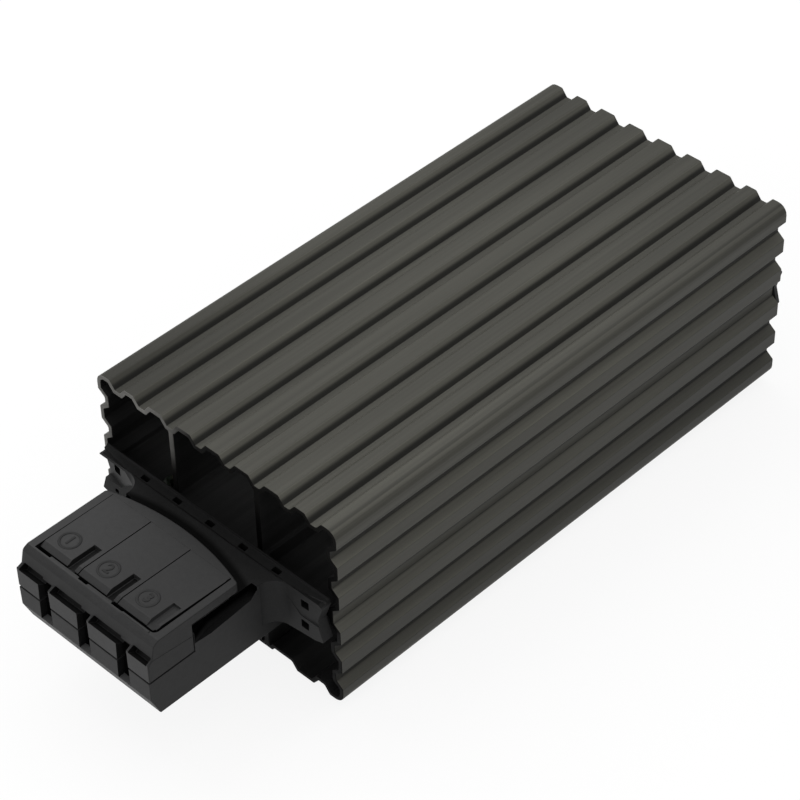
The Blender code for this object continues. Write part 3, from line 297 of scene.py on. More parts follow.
def add_shape(obj, other):
    """Put another piece's faces into this one without a Boolean."""
    with edited(obj.data) as bm:
        bm.from_mesh(other.data)
    bpy.data.objects.remove(other, do_unlink=True)


def finish_piece(obj, body, node_name, sharp=38):
    """Scale a piece to metres, shade it, tie it to its body and put it in a CAD node's place."""
    obj.data.transform(Matrix.Scale(1 / PER_METRE, 4))
    obj.data.shade_smooth()
    obj.data.set_sharp_from_angle(angle=math.radians(sharp))
    normals = obj.modifiers.new("normals", 'WEIGHTED_NORMAL')
    normals.keep_sharp = True
    normals.weight = 60
    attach(obj, body)
    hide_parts(node_name)


# ---------------------------------------------------------------- materials

def surface(name):
    """A new material with its shader and the object's own coordinates."""
    mat = bpy.data.materials.new(name)
    mat.use_nodes = True
    shader = mat.node_tree.nodes["Principled BSDF"]
    return mat, shader, node(shader, "ShaderNodeTexCoord").outputs["Object"]


def node(beside, kind, **settings):
    """A new node in the tree of another node or socket."""
    made = beside.id_data.nodes.new(kind)
    for key, value in settings.items():
        setattr(made, key, value)
    return made


def feed(made, values):
    """Give a node's inputs numbers, colours or the outputs of other nodes."""
    for name, value in values.items():
        if isinstance(value, bpy.types.NodeSocket):
            made.id_data.links.new(value, made.inputs[name])
        else:
            made.inputs[name].default_value = value
    return made


def noise(coords, scale, detail, rough, stretch=(1, 1, 1)):
    mapping = feed(node(coords, "ShaderNodeMapping"), {"Scale": stretch, "Vector": coords})
    values = {"Scale": scale, "Detail": detail, "Roughness": rough, "Vector": mapping.outputs["Vector"]}
    return feed(node(coords, "ShaderNodeTexNoise"), values).outputs["Fac"]


def ranged(value, start, end, low, high, shape='LINEAR'):
    """A value stretched from start..end to low..high, and held at its ends."""
    made = node(value, "ShaderNodeMapRange", interpolation_type=shape)
    values = {"Value": value, "From Min": start, "From Max": end, "To Min": low, "To Max": high}
    return feed(made, values).outputs["Result"]


def spread(value, low, high):
    """A noise value, which lies mostly between 0.3 and 0.7, stretched to low..high."""
    return ranged(value, 0.3, 0.7, low, high)


def place_on(coords, axis):
    return feed(node(coords, "ShaderNodeSeparateXYZ"), {0: coords}).outputs[axis]


def gradient(coords, axis, start, end, low, high):
    """A value that runs smoothly from low to high between two places on an axis, in mm."""
    return ranged(place_on(coords, axis), start / PER_METRE, end / PER_METRE, low, high, 'SMOOTHSTEP')


def maths(operation, a, b):
    beside = a if isinstance(a, bpy.types.NodeSocket) else b
    return feed(node(beside, "ShaderNodeMath", operation=operation), {0: a, 1: b}).outputs["Value"]


def times(product, *factors):
    """A value multiplied by one or more others."""
    for factor in factors:
        product = maths('MULTIPLY', product, factor)
    return product


def tinted(colour, factor):
    """A colour multiplied by a factor."""
    made = node(factor, "ShaderNodeVectorMath", operation='SCALE')
    return feed(made, {0: colour, "Scale": factor}).outputs["Vector"]


def blended(factor, first, second):
    """Two colours mixed by a factor."""
    made = node(factor, "ShaderNodeMix", data_type='RGBA')
    return feed(made, {"Factor": factor, 6: first, 7: second}).outputs[2]


def bumped(shader, height, distance, strength):
    values = {"Height": height, "Distance": distance, "Strength": strength}
    feed(shader, {"Normal": feed(node(shader, "ShaderNodeBump"), values).outputs["Normal"]})


def anodised(name, level, roughness, inside):
    """Black anodised extrusion with die lines along it; the "corner" attribute holds painted shade and
    painted light that make it darker or lighter.
    """
    mat, shader, coords = surface(name)
    broad = noise(coords, 60, 2.0, 0.5, (1, 0.25, 1))
    lines = noise(coords, 420, 4.0, 0.62, (1, 0.012, 1))
    fine = noise(coords, 1500, 3.0, 0.6, (1, 0.006, 1))
    grain = noise(coords, 5200, 2.0, 0.5)
    corner = node(coords, "ShaderNodeAttribute", attribute_name="corner").outputs["Fac"]
    # The two factors from the corner attribute paint shade and light into the tone
    tone = times(
        spread(broad, 0.94, 1.06), spread(lines, 0.78, 1.22),
        spread(fine, 0.92, 1.08), spread(grain, 0.95, 1.05),
        ranged(corner, 0.0, 1.0, level, level * 0.24), ranged(corner, -1.0, 0.0, 1.7, 1.0),
    )
    if inside:
        # Duct walls: painted shade, darkest near the mouth and lighter further in
        colour = (0.0560, 0.0560, 0.0560)
        tone = times(tone, gradient(coords, "Y", FRONT + 1, FRONT + 15, 0.55, 2.3))
    else:
        colour = (0.0570, 0.0559, 0.0469)
        # Painted shade: darker at the front left to damp the key lamp's highlight, darker towards the bottom
        # and towards the rear end
        near_left = times(
            gradient(coords, "Y", FRONT, FRONT + 75, 0.46, 0.0),
            gradient(coords, "X", -35, 8, 1.0, 0.0),
        )
        tone = times(
            tone, maths('SUBTRACT', 1.0, near_left),
            gradient(coords, "Z", BASE + 4, MID + 6, 0.60, 1.0),
            gradient(coords, "Y", REAR - 60, REAR, 1.0, 0.84),
        )
    worn = spread(broad, roughness, roughness + 0.06)
    rough = maths('ADD', spread(lines, -0.05, 0.05), worn)
    feed(shader, {
        "Base Color": tinted(colour, tone), "Roughness": rough, "Metallic": 0.15,
        "Specular IOR Level": 0.22 * level,
    })
    height = maths('ADD', lines, times(fine, 0.5))
    height = maths('ADD', height, times(grain, 0.12))
    bumped(shader, height, FINE_BUMP, 0.55)
    return mat


def cut_metal():
    """The sawn and anodised ends of the extrusion, with painted light at their top left and painted shade
    elsewhere.
    """
    mat, shader, coords = surface("anodised_cut_end")
    saw = noise(coords, 900, 3.0, 0.6, (0.12, 1, 1))
    patch = noise(coords, 130, 2.0, 0.5)
    # Painted shade: dark low down and right of the middle, lighter at the top and at the left end
    fading = maths('MAXIMUM', gradient(coords, "Z", MID + 10, MID + 20, 0.03, 1.0),
                   gradient(coords, "X", -31, -27, 1.0, 0.0))
    tone = times(spread(saw, 0.80, 1.20), spread(patch, 0.85, 1.18),
                 gradient(coords, "X", -17, -5, 1.0, 0.04), fading)
    feed(shader, {
        "Base Color": tinted((0.110, 0.108, 0.102), tone), "Roughness": spread(saw, 0.50, 0.64),
        "Specular IOR Level": 0.05,
    })
    bumped(shader, saw, SAW_BUMP, 0.6)
    return mat


# Painted light and shade: how a plastic's tone runs along an axis, for each kind of place: two places in mm
# and the levels there
SHADES = {
    "plate": [("X", -14, 22, 0.80, 0.88), ("X", -26, -20, 0.45, 1.0)],
    "facet": [("X", -31, -22, 0.50, 1.0)],
    "roof": [("X", -17, 13, 1.15, 0.74), ("Y", -67, -61, 1.0, 0.76)],
    "pocket": [("Z", MID + 1.7, MID + 4.0, 1.0, 0.06)],
}


def moulded(name, level, shine, kind=""):
    """Fine matt black moulded plastic; level paints it lighter or darker, and kind is the sort of place whose
    painted light and shade it takes.
    """
    mat, shader, coords = surface(name)
    cloud = noise(coords, 70, 3.0, 0.55)
    skin = noise(coords, 2600, 2.0, 0.5)
    pit = noise(coords, 800, 3.0, 0.6)
    tone = times(spread(cloud, 0.91, 1.09), spread(pit, 0.92, 1.08),
                 spread(skin, 0.92, 1.08), level)
    for shade in SHADES.get(kind, []):
        tone = times(tone, gradient(coords, *shade))
    if kind == "top":
        # Painted shadow that follows the bow of the roof's rear edge, in metres
        across = maths('ADD', place_on(coords, "X"), 0.0036)
        bow = maths('ADD', place_on(coords, "Y"), times(across, across, 8.2))
        tone = times(tone, ranged(bow, -0.0577, -0.0563, 0.04, 0.42))
    rough = maths('ADD', spread(cloud, 0.44, 0.52), spread(skin, -0.04, 0.04))
    feed(shader, {
        "Base Color": tinted((0.0240, 0.0240, 0.0242), tone), "Roughness": rough, "Specular IOR Level": shine,
    })
    bumped(shader, maths('ADD', skin, times(pit, 0.6)), FINE_BUMP, 0.5)
    return mat


def general(name, colour, roughness, metallic, scale, stretch=(1, 1, 1), vary=0.12, bump=0.35, second=None):
    """A surface with broad and fine variation of its colour, roughness and height."""
    mat, shader, coords = surface(name)
    broad = noise(coords, scale * 0.12, 3.0, 0.5, stretch)
    fine = noise(coords, scale, 4.0, 0.6, stretch)
    tone = times(spread(broad, 1 - vary, 1 + vary), spread(fine, 1 - vary / 2, 1 + vary / 2))
    shade = tinted(colour, tone)
    if second:
        shade = blended(ranged(broad, 0.45, 0.7, 0.0, 0.7), shade, (*second, 1.0))
    rough = spread(fine, roughness - 0.07, roughness + 0.07)
    feed(shader, {"Base Color": shade, "Roughness": rough, "Metallic": metallic})
    bumped(shader, fine, FINE_BUMP, bump)
    return mat


EXTRUSION = anodised("anodised_extrusion", 1.0, 0.49, False)
# The duct walls are a shaded copy of the extrusion: painted shade
DUCT_WALL = anodised("anodised_duct_wall_painted_shade", 0.42, 0.62, True)
CUT_END = cut_metal()
# All plastic finishes but the first are painted light or shade; the edge finish is edge wear with painted
# light
PLAIN, DEEP, DULL, PAINTED_LIGHT, HOLLOW, SOFT, EDGE_WEAR_AND_LIGHT, PLATE, TOP, LEDGE, SILL, ROOF = range(12)
PLASTICS = [moulded(*values) for values in (
    ("moulded_plastic", 1.0, 0.09),
    ("plastic_in_gaps_painted_shade", 0.22, 0.04),
    ("plastic_in_notches_painted_shade", 0.40, 0.05),
    ("plastic_facet_painted_light", 1.35, 0.12, "facet"),
    ("plastic_under_edge_painted_shade", 0.50, 0.0, "pocket"),
    ("plastic_leaning_face_painted_shade", 0.66, 0.16),
    ("plastic_worn_edge_and_painted_light", 1.25, 0.12),
    ("plastic_plate_painted_shade", 1.0, 0.05, "plate"),
    ("plastic_behind_roof_painted_shadow", 1.5, 0.04, "top"),
    ("plastic_ledge_painted_shade", 0.34, 0.05),
    ("plastic_slot_floor_painted_light", 3.0, 0.20),
    ("plastic_top_face_painted_light_and_shade", 1.0, 0.20, "roof"),
)]
STEEL = general("rolled_spring_steel", (0.60, 0.60, 0.61), 0.30, 1.0, 1400, (0.06, 1, 1), 0.08, 0.3)
ZINC = general("zinc_plated_steel", (0.64, 0.65, 0.64), 0.36, 1.0, 1100, vary=0.10, second=(0.70, 0.68, 0.58))
TINNED = general("tinned_brass", (0.78, 0.72, 0.56), 0.30, 1.0, 1000, vary=0.10, second=(0.74, 0.62, 0.36))
SHEET = general("mill_finish_sheet", (0.78, 0.79, 0.80), 0.34, 1.0, 1600, (1, 0.05, 1), 0.08)
CERAMIC = general("fired_ceramic", (0.30, 0.27, 0.24), 0.78, 0.0, 2200, vary=0.16, bump=0.6,
                  second=(0.22, 0.20, 0.19))
FILM = general("amber_film", (0.55, 0.30, 0.08), 0.34, 0.0, 500, vary=0.10, second=(0.44, 0.22, 0.05))
FRAME = general("frame_plastic", (0.70, 0.68, 0.62), 0.55, 0.0, 1500, vary=0.06, bump=0.5)
BROWN = general("brown_sleeve", (0.15, 0.07, 0.035), 0.46, 0.0, 1500, (1, 0.15, 1), 0.12)
BLUE = general("blue_sleeve", (0.03, 0.11, 0.38), 0.46, 0.0, 1500, (1, 0.15, 1), 0.12)


def earth_sleeve():
    """Green lead with its yellow stripes wound round it."""
    mat, shader, coords = surface("green_yellow_sleeve")
    wave = node(coords, "ShaderNodeTexWave", bands_direction='DIAGONAL')
    feed(wave, {"Scale": 130, "Distortion": 1.5, "Vector": coords})
    fine = noise(coords, 1500, 3.0, 0.6)
    stripe = ranged(wave.outputs["Fac"], 0.48, 0.56, 0.0, 1.0)
    shade = blended(stripe, (0.005, 0.009, 0.004, 1.0), (0.016, 0.014, 0.005, 1.0))
    feed(shader, {"Base Color": shade, "Roughness": spread(fine, 0.40, 0.52)})
    bumped(shader, fine, FINE_BUMP, 0.3)
    return mat


EARTH = earth_sleeve()


# ---------------------------------------------------------------- heatsink

def end_outlines(name, y):
    """The closed outlines of a node's flat end, in mm."""
    mesh = NODES[name].data
    points = [
        (round(v.co.x * PER_METRE, 3), v.co.y * PER_METRE, round(v.co.z * PER_METRE, 3))
        for v in mesh.vertices
    ]
    count = {}
    for face in mesh.polygons:
        places = [points[index] for index in face.vertices]
        if max(abs(place[1] - y) for place in places) > END_DEPTH:
            continue
        flat = [(place[0], place[2]) for place in places]
        for number, start in enumerate(flat):
            key = tuple(sorted((start, flat[(number + 1) % len(flat)])))
            count[key] = count.get(key, 0) + 1
    near = {}
    for (start, end), number in sorted(count.items()):
        if number == 1 and start != end:
            near.setdefault(start, []).append(end)
            near.setdefault(end, []).append(start)
    loops = []
    while near:
        start = min(near)
        loop = [start]
        before, here = None, start
        while True:
            ahead = [point for point in near[here] if point != before]
            before, here = here, ahead[0]
            if here == start:
                break
            loop.append(here)
        for point in loop:
            near.pop(point)
        loops.append(loop)
    return loops


def area(loop):
    total = 0.0
    for number, (x, y) in enumerate(loop):
        next_x, next_y = loop[(number + 1) % len(loop)]
        total += x * next_y - next_x * y
    return total / 2


def straightened(loop):
    """Drop the points that lie on a straight line between their neighbours."""
    return [
        point for point, (before, here, after) in zip(loop, corners(loop))
        if math.degrees(math.pi - (before - here).angle(after - here)) > STRAIGHT
    ]


def directions(loop):
    """Each point of an outline with the outline's directions before and after it."""
    for before, here, after in corners(loop):
        yield here, (here - before).normalized(), (after - here).normalized()


def shrunk(loop, distance):
    """Move an outline to its left by a distance."""
    moved = []
    for here, before, after in directions(loop):
        normal = Vector((-before.y - after.y, before.x + after.x)).normalized()
        stretch = 1 / max(normal.dot(Vector((-before.y, before.x))), 0.5)
        moved.append(tuple(here + normal * distance * stretch))
    return moved


def corner_radii(loop):
    """Rounding for an outline's corners, least where a slope meets a groove's floor."""
    radii = []
    for here, before, after in directions(loop):
        hollow = before.x * after.y - before.y * after.x < 0
        if not hollow:
            radii.append(0.55 if here.y > CROWN else 0.4)
        elif max(before.y, after.y) > 0.35:
            radii.append(0.22)
        else:
            radii.append(0.8)
    return radii


def stepped(loop, step):
    """Add points along an outline's long straight parts."""
    result = []
    for _, start, end in corners(loop):
        parts = max(1, math.ceil((end - start).length / step))
        result += [tuple(start.lerp(end, part / parts)) for part in range(parts)]
    return result


def nearest_side(loop, point):
    """The outline's straight part that lies nearest to a point."""
    best = None
    for _, start, end in corners(loop):
        span = end - start
        share = min(1.0, max(0.0, (point - start).dot(span) / span.length_squared))
        distance = (start + span * share - point).length
        if best is None or distance < best[0]:
            best = (distance, start, end)
    return best[1:]


def ramp(value, start, end):
    return min(1.0, max(0.0, (value - start) / (end - start)))


def painted_light_and_shade(sharp_loop, fine):
    """The painted tone of an outline's points: 1 is painted shade at a slope's foot, 0 plain, less than 0
    painted light.
    """
    shade = []
    for point in fine:
        spot = Vector(point)
        start, end = nearest_side(sharp_loop, spot)
        line = (end - start).normalized()
        normal = Vector((line.y, -line.x))
        slope = min(abs(normal.x), abs(normal.y)) > 0.5 and 2 < (end - start).length < 3
        value = 0.0
        if spot.y > TOP_RIDGES:
            foot = start if start.y < end.y else end
            reach = (spot - foot).length
            # Top: painted shade at the foot of right-facing slopes, painted light higher up them and on
            # left-facing slopes
            if slope and normal.x > 0:
                value = 1 - ramp(reach, 0.9, 1.3) - 0.8 * ramp(reach, 1.3, 1.6)
            elif slope:
                value = -0.3
            # Painted highlight and painted shade lines along the rounded top corner
            elif spot.x > HIGH.x - 2.4:
                turn = math.degrees(math.atan2(spot.y - HIGH.z + 2.5, spot.x - HIGH.x + 2.5))
                value = 0.35 * (64 < turn < 80) - 0.45 * (46 < turn < 62) + 0.2 * (14 < turn < 36)
        elif abs(spot.y - MID) < SIDE_RIDGES:
            foot = start if abs(start.x) < abs(end.x) else end
            reach = (spot - foot).length
            # Sides: painted shade at the foot of up-facing slopes and painted light above, painted shade on
            # down-facing slopes, outer faces and groove floors
            if slope and normal.y > 0:
                value = 0.8 - 1.55 * ramp(reach, 0.1, 0.45)
            elif slope:
                value = 0.5
            elif abs(normal.x) > 0.9 and abs(spot.x) > HIGH.x - 1:
                value = 0.22
            elif abs(normal.x) > 0.9:
                value = 0.85
                if (end - start).length > 3:
                    value -= 0.7 * ramp(max(start.y, end.y) - spot.y, 1.2, 1.8)
        shade.append(value)
    return shade


def profile_outlines():
    """The profile's outlines with their corners rounded and the painted light and shade of each point; the
    outer one first.
    """
    loops = [straightened(loop) for loop in end_outlines("heatsink_profile", FRONT)]
    loops.sort(key=lambda loop: -abs(area(loop)))
    outlines = []
    for number, loop in enumerate(loops):
        outer = number == 0
        if (area(loop) > 0) != outer:
            loop = loop[::-1]
        if outer:
            fine = stepped(rounded(loop, corner_radii(loop)), 0.3)
            outlines.append((fine, painted_light_and_shade(loop, fine)))
        else:
            fine = rounded(loop, 0.35, 3)
            outlines.append((fine, [0.0] * len(fine)))
    return outlines


def build_heatsink():
    skin, cut, duct = range(3)
    lip = 0.09
    bm = bmesh.new()
    # Each point's painted light and shade goes into the corner attribute
    layer = bm.verts.layers.float.new("corner")
    front_rings, rear_rings = [], []
    for place, (loop, shade) in enumerate(profile_outlines()):
        narrow = shrunk(loop, lip)
        rings = []
        for y, line in ((FRONT, narrow), (FRONT + lip, loop), (REAR - lip, loop), (REAR, narrow)):
            ring = [bm.verts.new((x, y, z)) for x, z in line]
            for vert, value in zip(ring, shade):
                vert[layer] = value
            rings.append(ring)
        for near, far, kind in zip(rings, rings[1:], (cut, duct if place else skin, cut)):
            for number in range(len(loop)):
                after = (number + 1) % len(loop)
                face = bm.faces.new((near[number], near[after], far[after], far[number]))
                face.material_index = kind
        front_rings.append(rings[0])
        rear_rings.append(rings[-1])
    for rings in (front_rings, rear_rings):
        flat = [[Vector((vert.co.x, vert.co.z, 0)) for vert in ring] for ring in rings]
        verts = [vert for ring in rings for vert in ring]
        for triangle in tessellate_polygon(flat):
            points = [verts[index] for index in triangle]
            if len(set(points)) == 3:
                bm.faces.new(points).material_index = cut
    obj = link("heatsink_skin", to_mesh("heatsink_skin", bm))
    kinds = [face.material_index for face in obj.data.polygons]
    for mat in (EXTRUSION, CUT_END, DUCT_WALL):
        obj.data.materials.append(mat)
    obj.data.polygons.foreach_set("material_index", kinds)
    finish_piece(obj, "housing", "heatsink_profile", 32)


# ---------------------------------------------------------------- terminal block

def bow_plan(half, side_reach, arc_reach, front, corner=0.0):
    """Plan of the cover behind its front, with the bowed rear edge."""
    side_y = FRONT - side_reach
    bow = side_reach - arc_reach
    radius = (half ** 2 + bow ** 2) / (2 * bow)
    span = math.degrees(math.asin(half / radius))
    curve = arc((0, side_y + bow - radius), radius, 90 - span, 90 + span, 36)
    loop = [(half, front)] + curve + [(-half, front)]
    radii = [0.0] * len(loop)
    radii[1] = corner
    radii[-2] = corner
    return rounded_wide(loop, radii) if corner else loop


def rounded_wide(loop, radii):
    """Round two corners next to a fine curve: the curve's points inside the rounding are dropped first."""
    kept = []
    kept_radii = []
    for point, radius in zip(loop, radii):
        close = [
            other for other, reach in zip(loop, radii)
            if reach > 0 and other != point and (Vector(other) - Vector(point)).length < reach * 2.4
        ]
        if close and radius == 0:
            continue
        kept.append(point)
        kept_radii.append(radius)
    return rounded(kept, kept_radii, 6)


def slot_sides(x, z):
    """Where the left and right sides of a wire slot lie at a height: it narrows upwards."""
    share = (z - SLOT_SILL) / SLOT_HEIGHT
    return x - 1.9 + 0.5 * share, x + 1.75 - 0.12 * share


def slot_cutters(part, low, high):
    """The tapered wire slots with a short floor at the bottom and the entry holes behind them."""
    cutters = []
    bottom = max(low, SLOT_SILL)
    deep = max(low, SLOT_DEEP)
    for side, centre in SIDES.items():
        left_low, right_low = slot_sides(centre + SLOT_SHIFT, bottom)
        left_high, right_high = slot_sides(centre + SLOT_SHIFT, high)
        outline = [(left_low, bottom), (right_low, bottom), (right_high, high), (left_high, high)]
        slot = prism(f"{part}_slot_{side}", outline, BLOCK_FRONT - 1, BLOCK_FRONT + 1.65, 'Y')
        # Slot walls take painted shade, the slot floor painted light and the entry holes painted shade
        paint(slot, DULL)
        cutters.append(paint(slot, SILL, lambda p, n: n.z < -0.7))
        inner = [
            (left_low - 0.02, deep), (right_low + 0.02, deep),
            (right_high + 0.02, high - 0.2), (left_high - 0.02, high - 0.2),
        ]
        entry = prism(f"{part}_entry_{side}", inner, BLOCK_FRONT + 1.6, BLOCK_FRONT + 4.6, 'Y')
        cutters.append(paint(entry, DEEP))
    return cutters


def dish(sign):
    """The sloped facet beside a square hole at one end of the plate."""
    depth = 1.55 if sign < 0 else 0.5
    wedge = [
        (sign * 23.2, PLATE_FRONT - 0.001), (sign * 35.0, PLATE_FRONT + depth),
        (sign * 35.0, PLATE_FRONT - 1), (sign * 23.2, PLATE_FRONT - 1),
    ]
    cutter = prism("dish_wedge", wedge, MID - 1.4, MID + 7.5, 'Z')
    window = [
        (sign * 23.0, MID + 1.9), (sign * 25.2, MID + 4.4), (sign * 36, MID + 4.4),
        (sign * 36, MID - 1.4), (sign * 27.0, MID - 1.4),
    ]
    keep = prism("dish_window", window, PLATE_FRONT - 2, PLATE_FRONT + 3, 'Y')
    # The left facet takes a lighter finish: painted light
    return paint(combine(cutter, keep, 'INTERSECT'), PAINTED_LIGHT if sign < 0 else PLAIN)


def pocket(sign):
    """The hollow in the block's side under the cover's edge, shallow in front and deep at the rear."""
    outline = [
        (SHOULDER + 0.05, MID + 1.9), (FRONT - 20.2, MID + 1.5), (FRONT - 9.4, MID + 2.5),
        (FRONT - 7.6, MID + 4.2), (FRONT - 7.6, MID + 6.0), (SHOULDER + 0.05, MID + 6.0),
    ]
    outer = sign * 21.0
    side = prism("pocket_side", rounded(outline, [0, 0.6, 0.8, 0.6, 0, 0]), *sorted((0, outer)), 'X')
    plan = [
        (outer, SHOULDER - 1), (sign * (HALF_BLOCK + 0.02), SHOULDER),
        (sign * (HALF_BLOCK - 1.35), SHOULDER + 4.6), (sign * (HALF_BLOCK - 1.6), FRONT - 6),
        (outer, FRONT - 6),
    ]
    shape = prism("pocket_plan", plan, MID - 2, MID + 8, 'Z')
    # The hollow takes painted shade, darkest just under the cover's edge
    return paint(combine(side, shape, 'INTERSECT'), HOLLOW)


def plate_shape():
    """The bow-tie plate that closes the middle of the profile's front."""
    half = [
        (HALF_BLOCK - 1, MID - 7.1), (HALF_BLOCK + 2.0, MID - 7.1), (PLATE_EDGE - 2.55, MID - 5.95),
        (PLATE_EDGE, MID - 5.1), (PLATE_EDGE - 1.7, MID), (PLATE_EDGE, MID + 4.7),
        (PLATE_EDGE - 1.0, PLATE_TOP),
    ]
    return prism("plate", rounded(mirrored(half), 0.35), PLATE_FRONT, PLATE_BACK, 'Y')


def flare_shape():
    """The hollow curves that lead from the block's sides to the plate."""
    radius = 4.0
    outer = HALF_BLOCK + radius
    start = PLATE_FRONT - radius
    half = [(HALF_BLOCK - 1, start)] + arc((outer, start), radius, 180, 90, 16) + [(outer, PLATE_FRONT + 1)]
    return prism("flare", mirrored(half), MID - 6.8, SHOULDER_TOP, 'Z')


def ledge_shape():
    """The ledge on the plate, with a raised rear edge and ends that taper in plan."""
    top, reach = PLATE_TOP, PLATE_EDGE - 0.1
    outline = [
        (PLATE_FRONT + 0.1, top - 1.0), (PLATE_BACK - 0.15, top - 1.0), (PLATE_BACK - 0.15, top + 0.8),
        (PLATE_BACK - 0.55, top + 0.85), (PLATE_BACK - 0.7, top + 0.45), (PLATE_FRONT + 0.1, top + 0.15),
    ]
    plan = [
        (PLATE_EDGE - 0.15, PLATE_BACK), (PLATE_EDGE - 0.15, PLATE_FRONT + 1.4),
        (29.2, PLATE_FRONT + 0.65), (23.7, PLATE_FRONT),
    ]
    plan = prism("ledge_plan", mirrored(plan), top - 3, top + 3, 'Z')
    return combine(prism("ledge", outline, -reach, reach, 'X'), plan, 'INTERSECT')


def base_cutters():
    """What is cut out of the base: facets, side hollows, bays, the element's tunnel, slots and holes."""
    cutters = [dish(-1), dish(1), pocket(-1), pocket(1)]
    depth, height = (BLOCK_FRONT + 4.1, FRONT - 14.5), (MID - 8.3, SHOULDER_TOP + 1)
    # Bays, tunnel and holes all take painted shade
    for centre in SIDES.values():
        cutters.append(paint(block("bay", (centre - 5.1, centre + 5.1), depth, height), DEEP))
    tunnel = block("tunnel", (-9.2, 9.2), (FRONT - 15.5, FRONT + 0.7), (MID - 3.0, MID + 3.0))
    cutters.append(paint(tunnel, DEEP))
    cutters += slot_cutters("lower", MID - 9, COVER_LOW)
    for number in range(-2, 3):
        loop = rounded(rectangle((number * 9.8, 0), 1.05, 0.6), 0.15, 2)
        loop = [(u, v + PLATE_FRONT + 0.9) for u, v in loop]
        cutters.append(paint(prism("ledge_hole", loop, PLATE_TOP - 1.4, PLATE_TOP + 2, 'Z'), DEEP))
    for x, lower_size in ((-28.6, 0.55), (28.1, 1.05)):
        for z, size in ((MID + 2.2, 1.05), (MID - 3.4, lower_size)):
            loop = rounded(rectangle((x, z), size, size), 0.2, 2)
            cutters.append(paint(prism("boss_hole", loop, PLATE_FRONT - 1, PLATE_FRONT + 2.2, 'Y'), DEEP))
    return cutters


def build_base():
    side = [
        (BLOCK_FRONT + 2.1, BASE_LOW), (PLATE_BACK - 0.3, BASE_LOW), (PLATE_BACK - 0.3, SHOULDER_TOP),
        (SHOULDER, SHOULDER_TOP), (SHOULDER, BASE_PARTING), (BLOCK_FRONT, BASE_PARTING),
        (BLOCK_FRONT, BASE_LOW + 4.9),
    ]
    side = rounded(side, [0.25, 0, 0, 0.15, 0, 0.12, 0.5])
    base = prism("terminal_lower", side, -HALF_BLOCK, HALF_BLOCK, 'X')
    soften(base, 0.2, choose=lambda p, e: p.z < BASE_PARTING - 0.2 and p.y < PLATE_FRONT - 4)
    depth, height = (PLATE_BACK - 1, FRONT + 5.7), (MID - 2.7, MID + 2.7)
    spigots = [block("spigot", x_range, depth, height) for x_range in ((-12.5, -9.5), (9.5, 12.5))]
    combine(base, [plate_shape(), flare_shape(), ledge_shape()] + spigots, 'UNION')
    combine(base, base_cutters(), 'DIFFERENCE')
    clean(base)
    # Painted shade on the plate and the ledge, painted shadow behind the roof; the plate's top at the ledge's
    # ends keeps the plate's lighter tone
    marks = {face.index: face.material_index for face in base.data.polygons if face.material_index}
    paint(base, PLATE, lambda p, n: p.y > FRONT - 7.2)
    paint(base, TOP, lambda p, n: n.z > 0.7 and abs(p.z - SHOULDER_TOP) < 0.1)
    paint(base, LEDGE, lambda p, n: p.z > SHOULDER_TOP + 0.15 and p.y > PLATE_FRONT - 0.05)
    paint(base, PLATE, lambda p, n: n.z > 0.99 and abs(p.z - PLATE_TOP) < 0.03 and abs(p.x) > 20)
    for index, kind in marks.items():
        base.data.polygons[index].material_index = kind
    soften(base, 0.10, 2, 34, 0.35, lambda p, e: p.y < FRONT - 0.2)
    finish_piece(base, "housing", "terminal_base")


def opening_plan():
    """The opening that the levers fill, with the gap in front of them as wide as it shows."""
    wide = LEVER_FRONT - 1.15
    thin = LEVER_FRONT - 0.62
    return [
        (-17.55, HINGE), (-17.6, wide), (-13.1, wide), (-12.9, thin), (-4.6, thin), (-4.45, wide),
        (-2.0, wide), (-1.85, thin), (5.2, thin), (5.35, wide), (8.6, wide), (8.75, wide + 0.25),
        *arc((16.55, wide + 1.45), 1.2, -90, 0, 6), (17.8, HINGE),
    ]


def groove_cutters():
    """The grooves over the raised blocks on each side of the wire slots."""
    shape = [
        (BLOCK_FRONT - 0.6, MID + 6.1), (BLOCK_FRONT - 0.6, MID + 4.8), (BLOCK_FRONT + 0.05, MID + 4.7),
        (BLOCK_FRONT + 1.9, MID + 3.4), (BLOCK_FRONT + 2.6, MID + 4.0), (BLOCK_FRONT + 1.45, MID + 6.1),
    ]
    starts = [-18.9] + [centre + SLOT_SHIFT + 2.15 for centre in SIDES.values()]
    ends = [centre + SLOT_SHIFT - 1.2 for centre in SIDES.values()] + [19.25]
    grooves = []
    for start, end in zip(starts, ends):
        groove = prism("groove", shape, start, end, 'X')
        window = [(start, MID + 2), (end, MID + 2), (end, MID + 8), (start, MID + 6.1)]
        window = rounded(window, [0.3, 0, 0, 1.3], 6)
        window = prism("groove_window", window, BLOCK_FRONT - 1, BLOCK_FRONT + 3, 'Y')
        # The grooves take painted shade
        grooves.append(paint(combine(groove, window, 'INTERSECT'), DULL))
    return grooves


def side_pad(sign):
    """The thin raised field on the cover's side."""
    outline = [
        (BLOCK_FRONT + 0.35, COVER_LOW + 0.1), (SHOULDER - 0.4, COVER_LOW + 0.1), (SHOULDER - 0.4, MID + 4.3),
        (BLOCK_FRONT + 1.2, MID + 5.35), (BLOCK_FRONT + 0.35, MID + 4.6),
    ]
    inner, outer = sign * (HALF_BLOCK - 0.4), sign * (HALF_BLOCK + 0.07)
    pad = prism("side_pad", outline, *sorted((inner, outer)), 'X')
    soften(pad, 0.06, 1)
    return pad


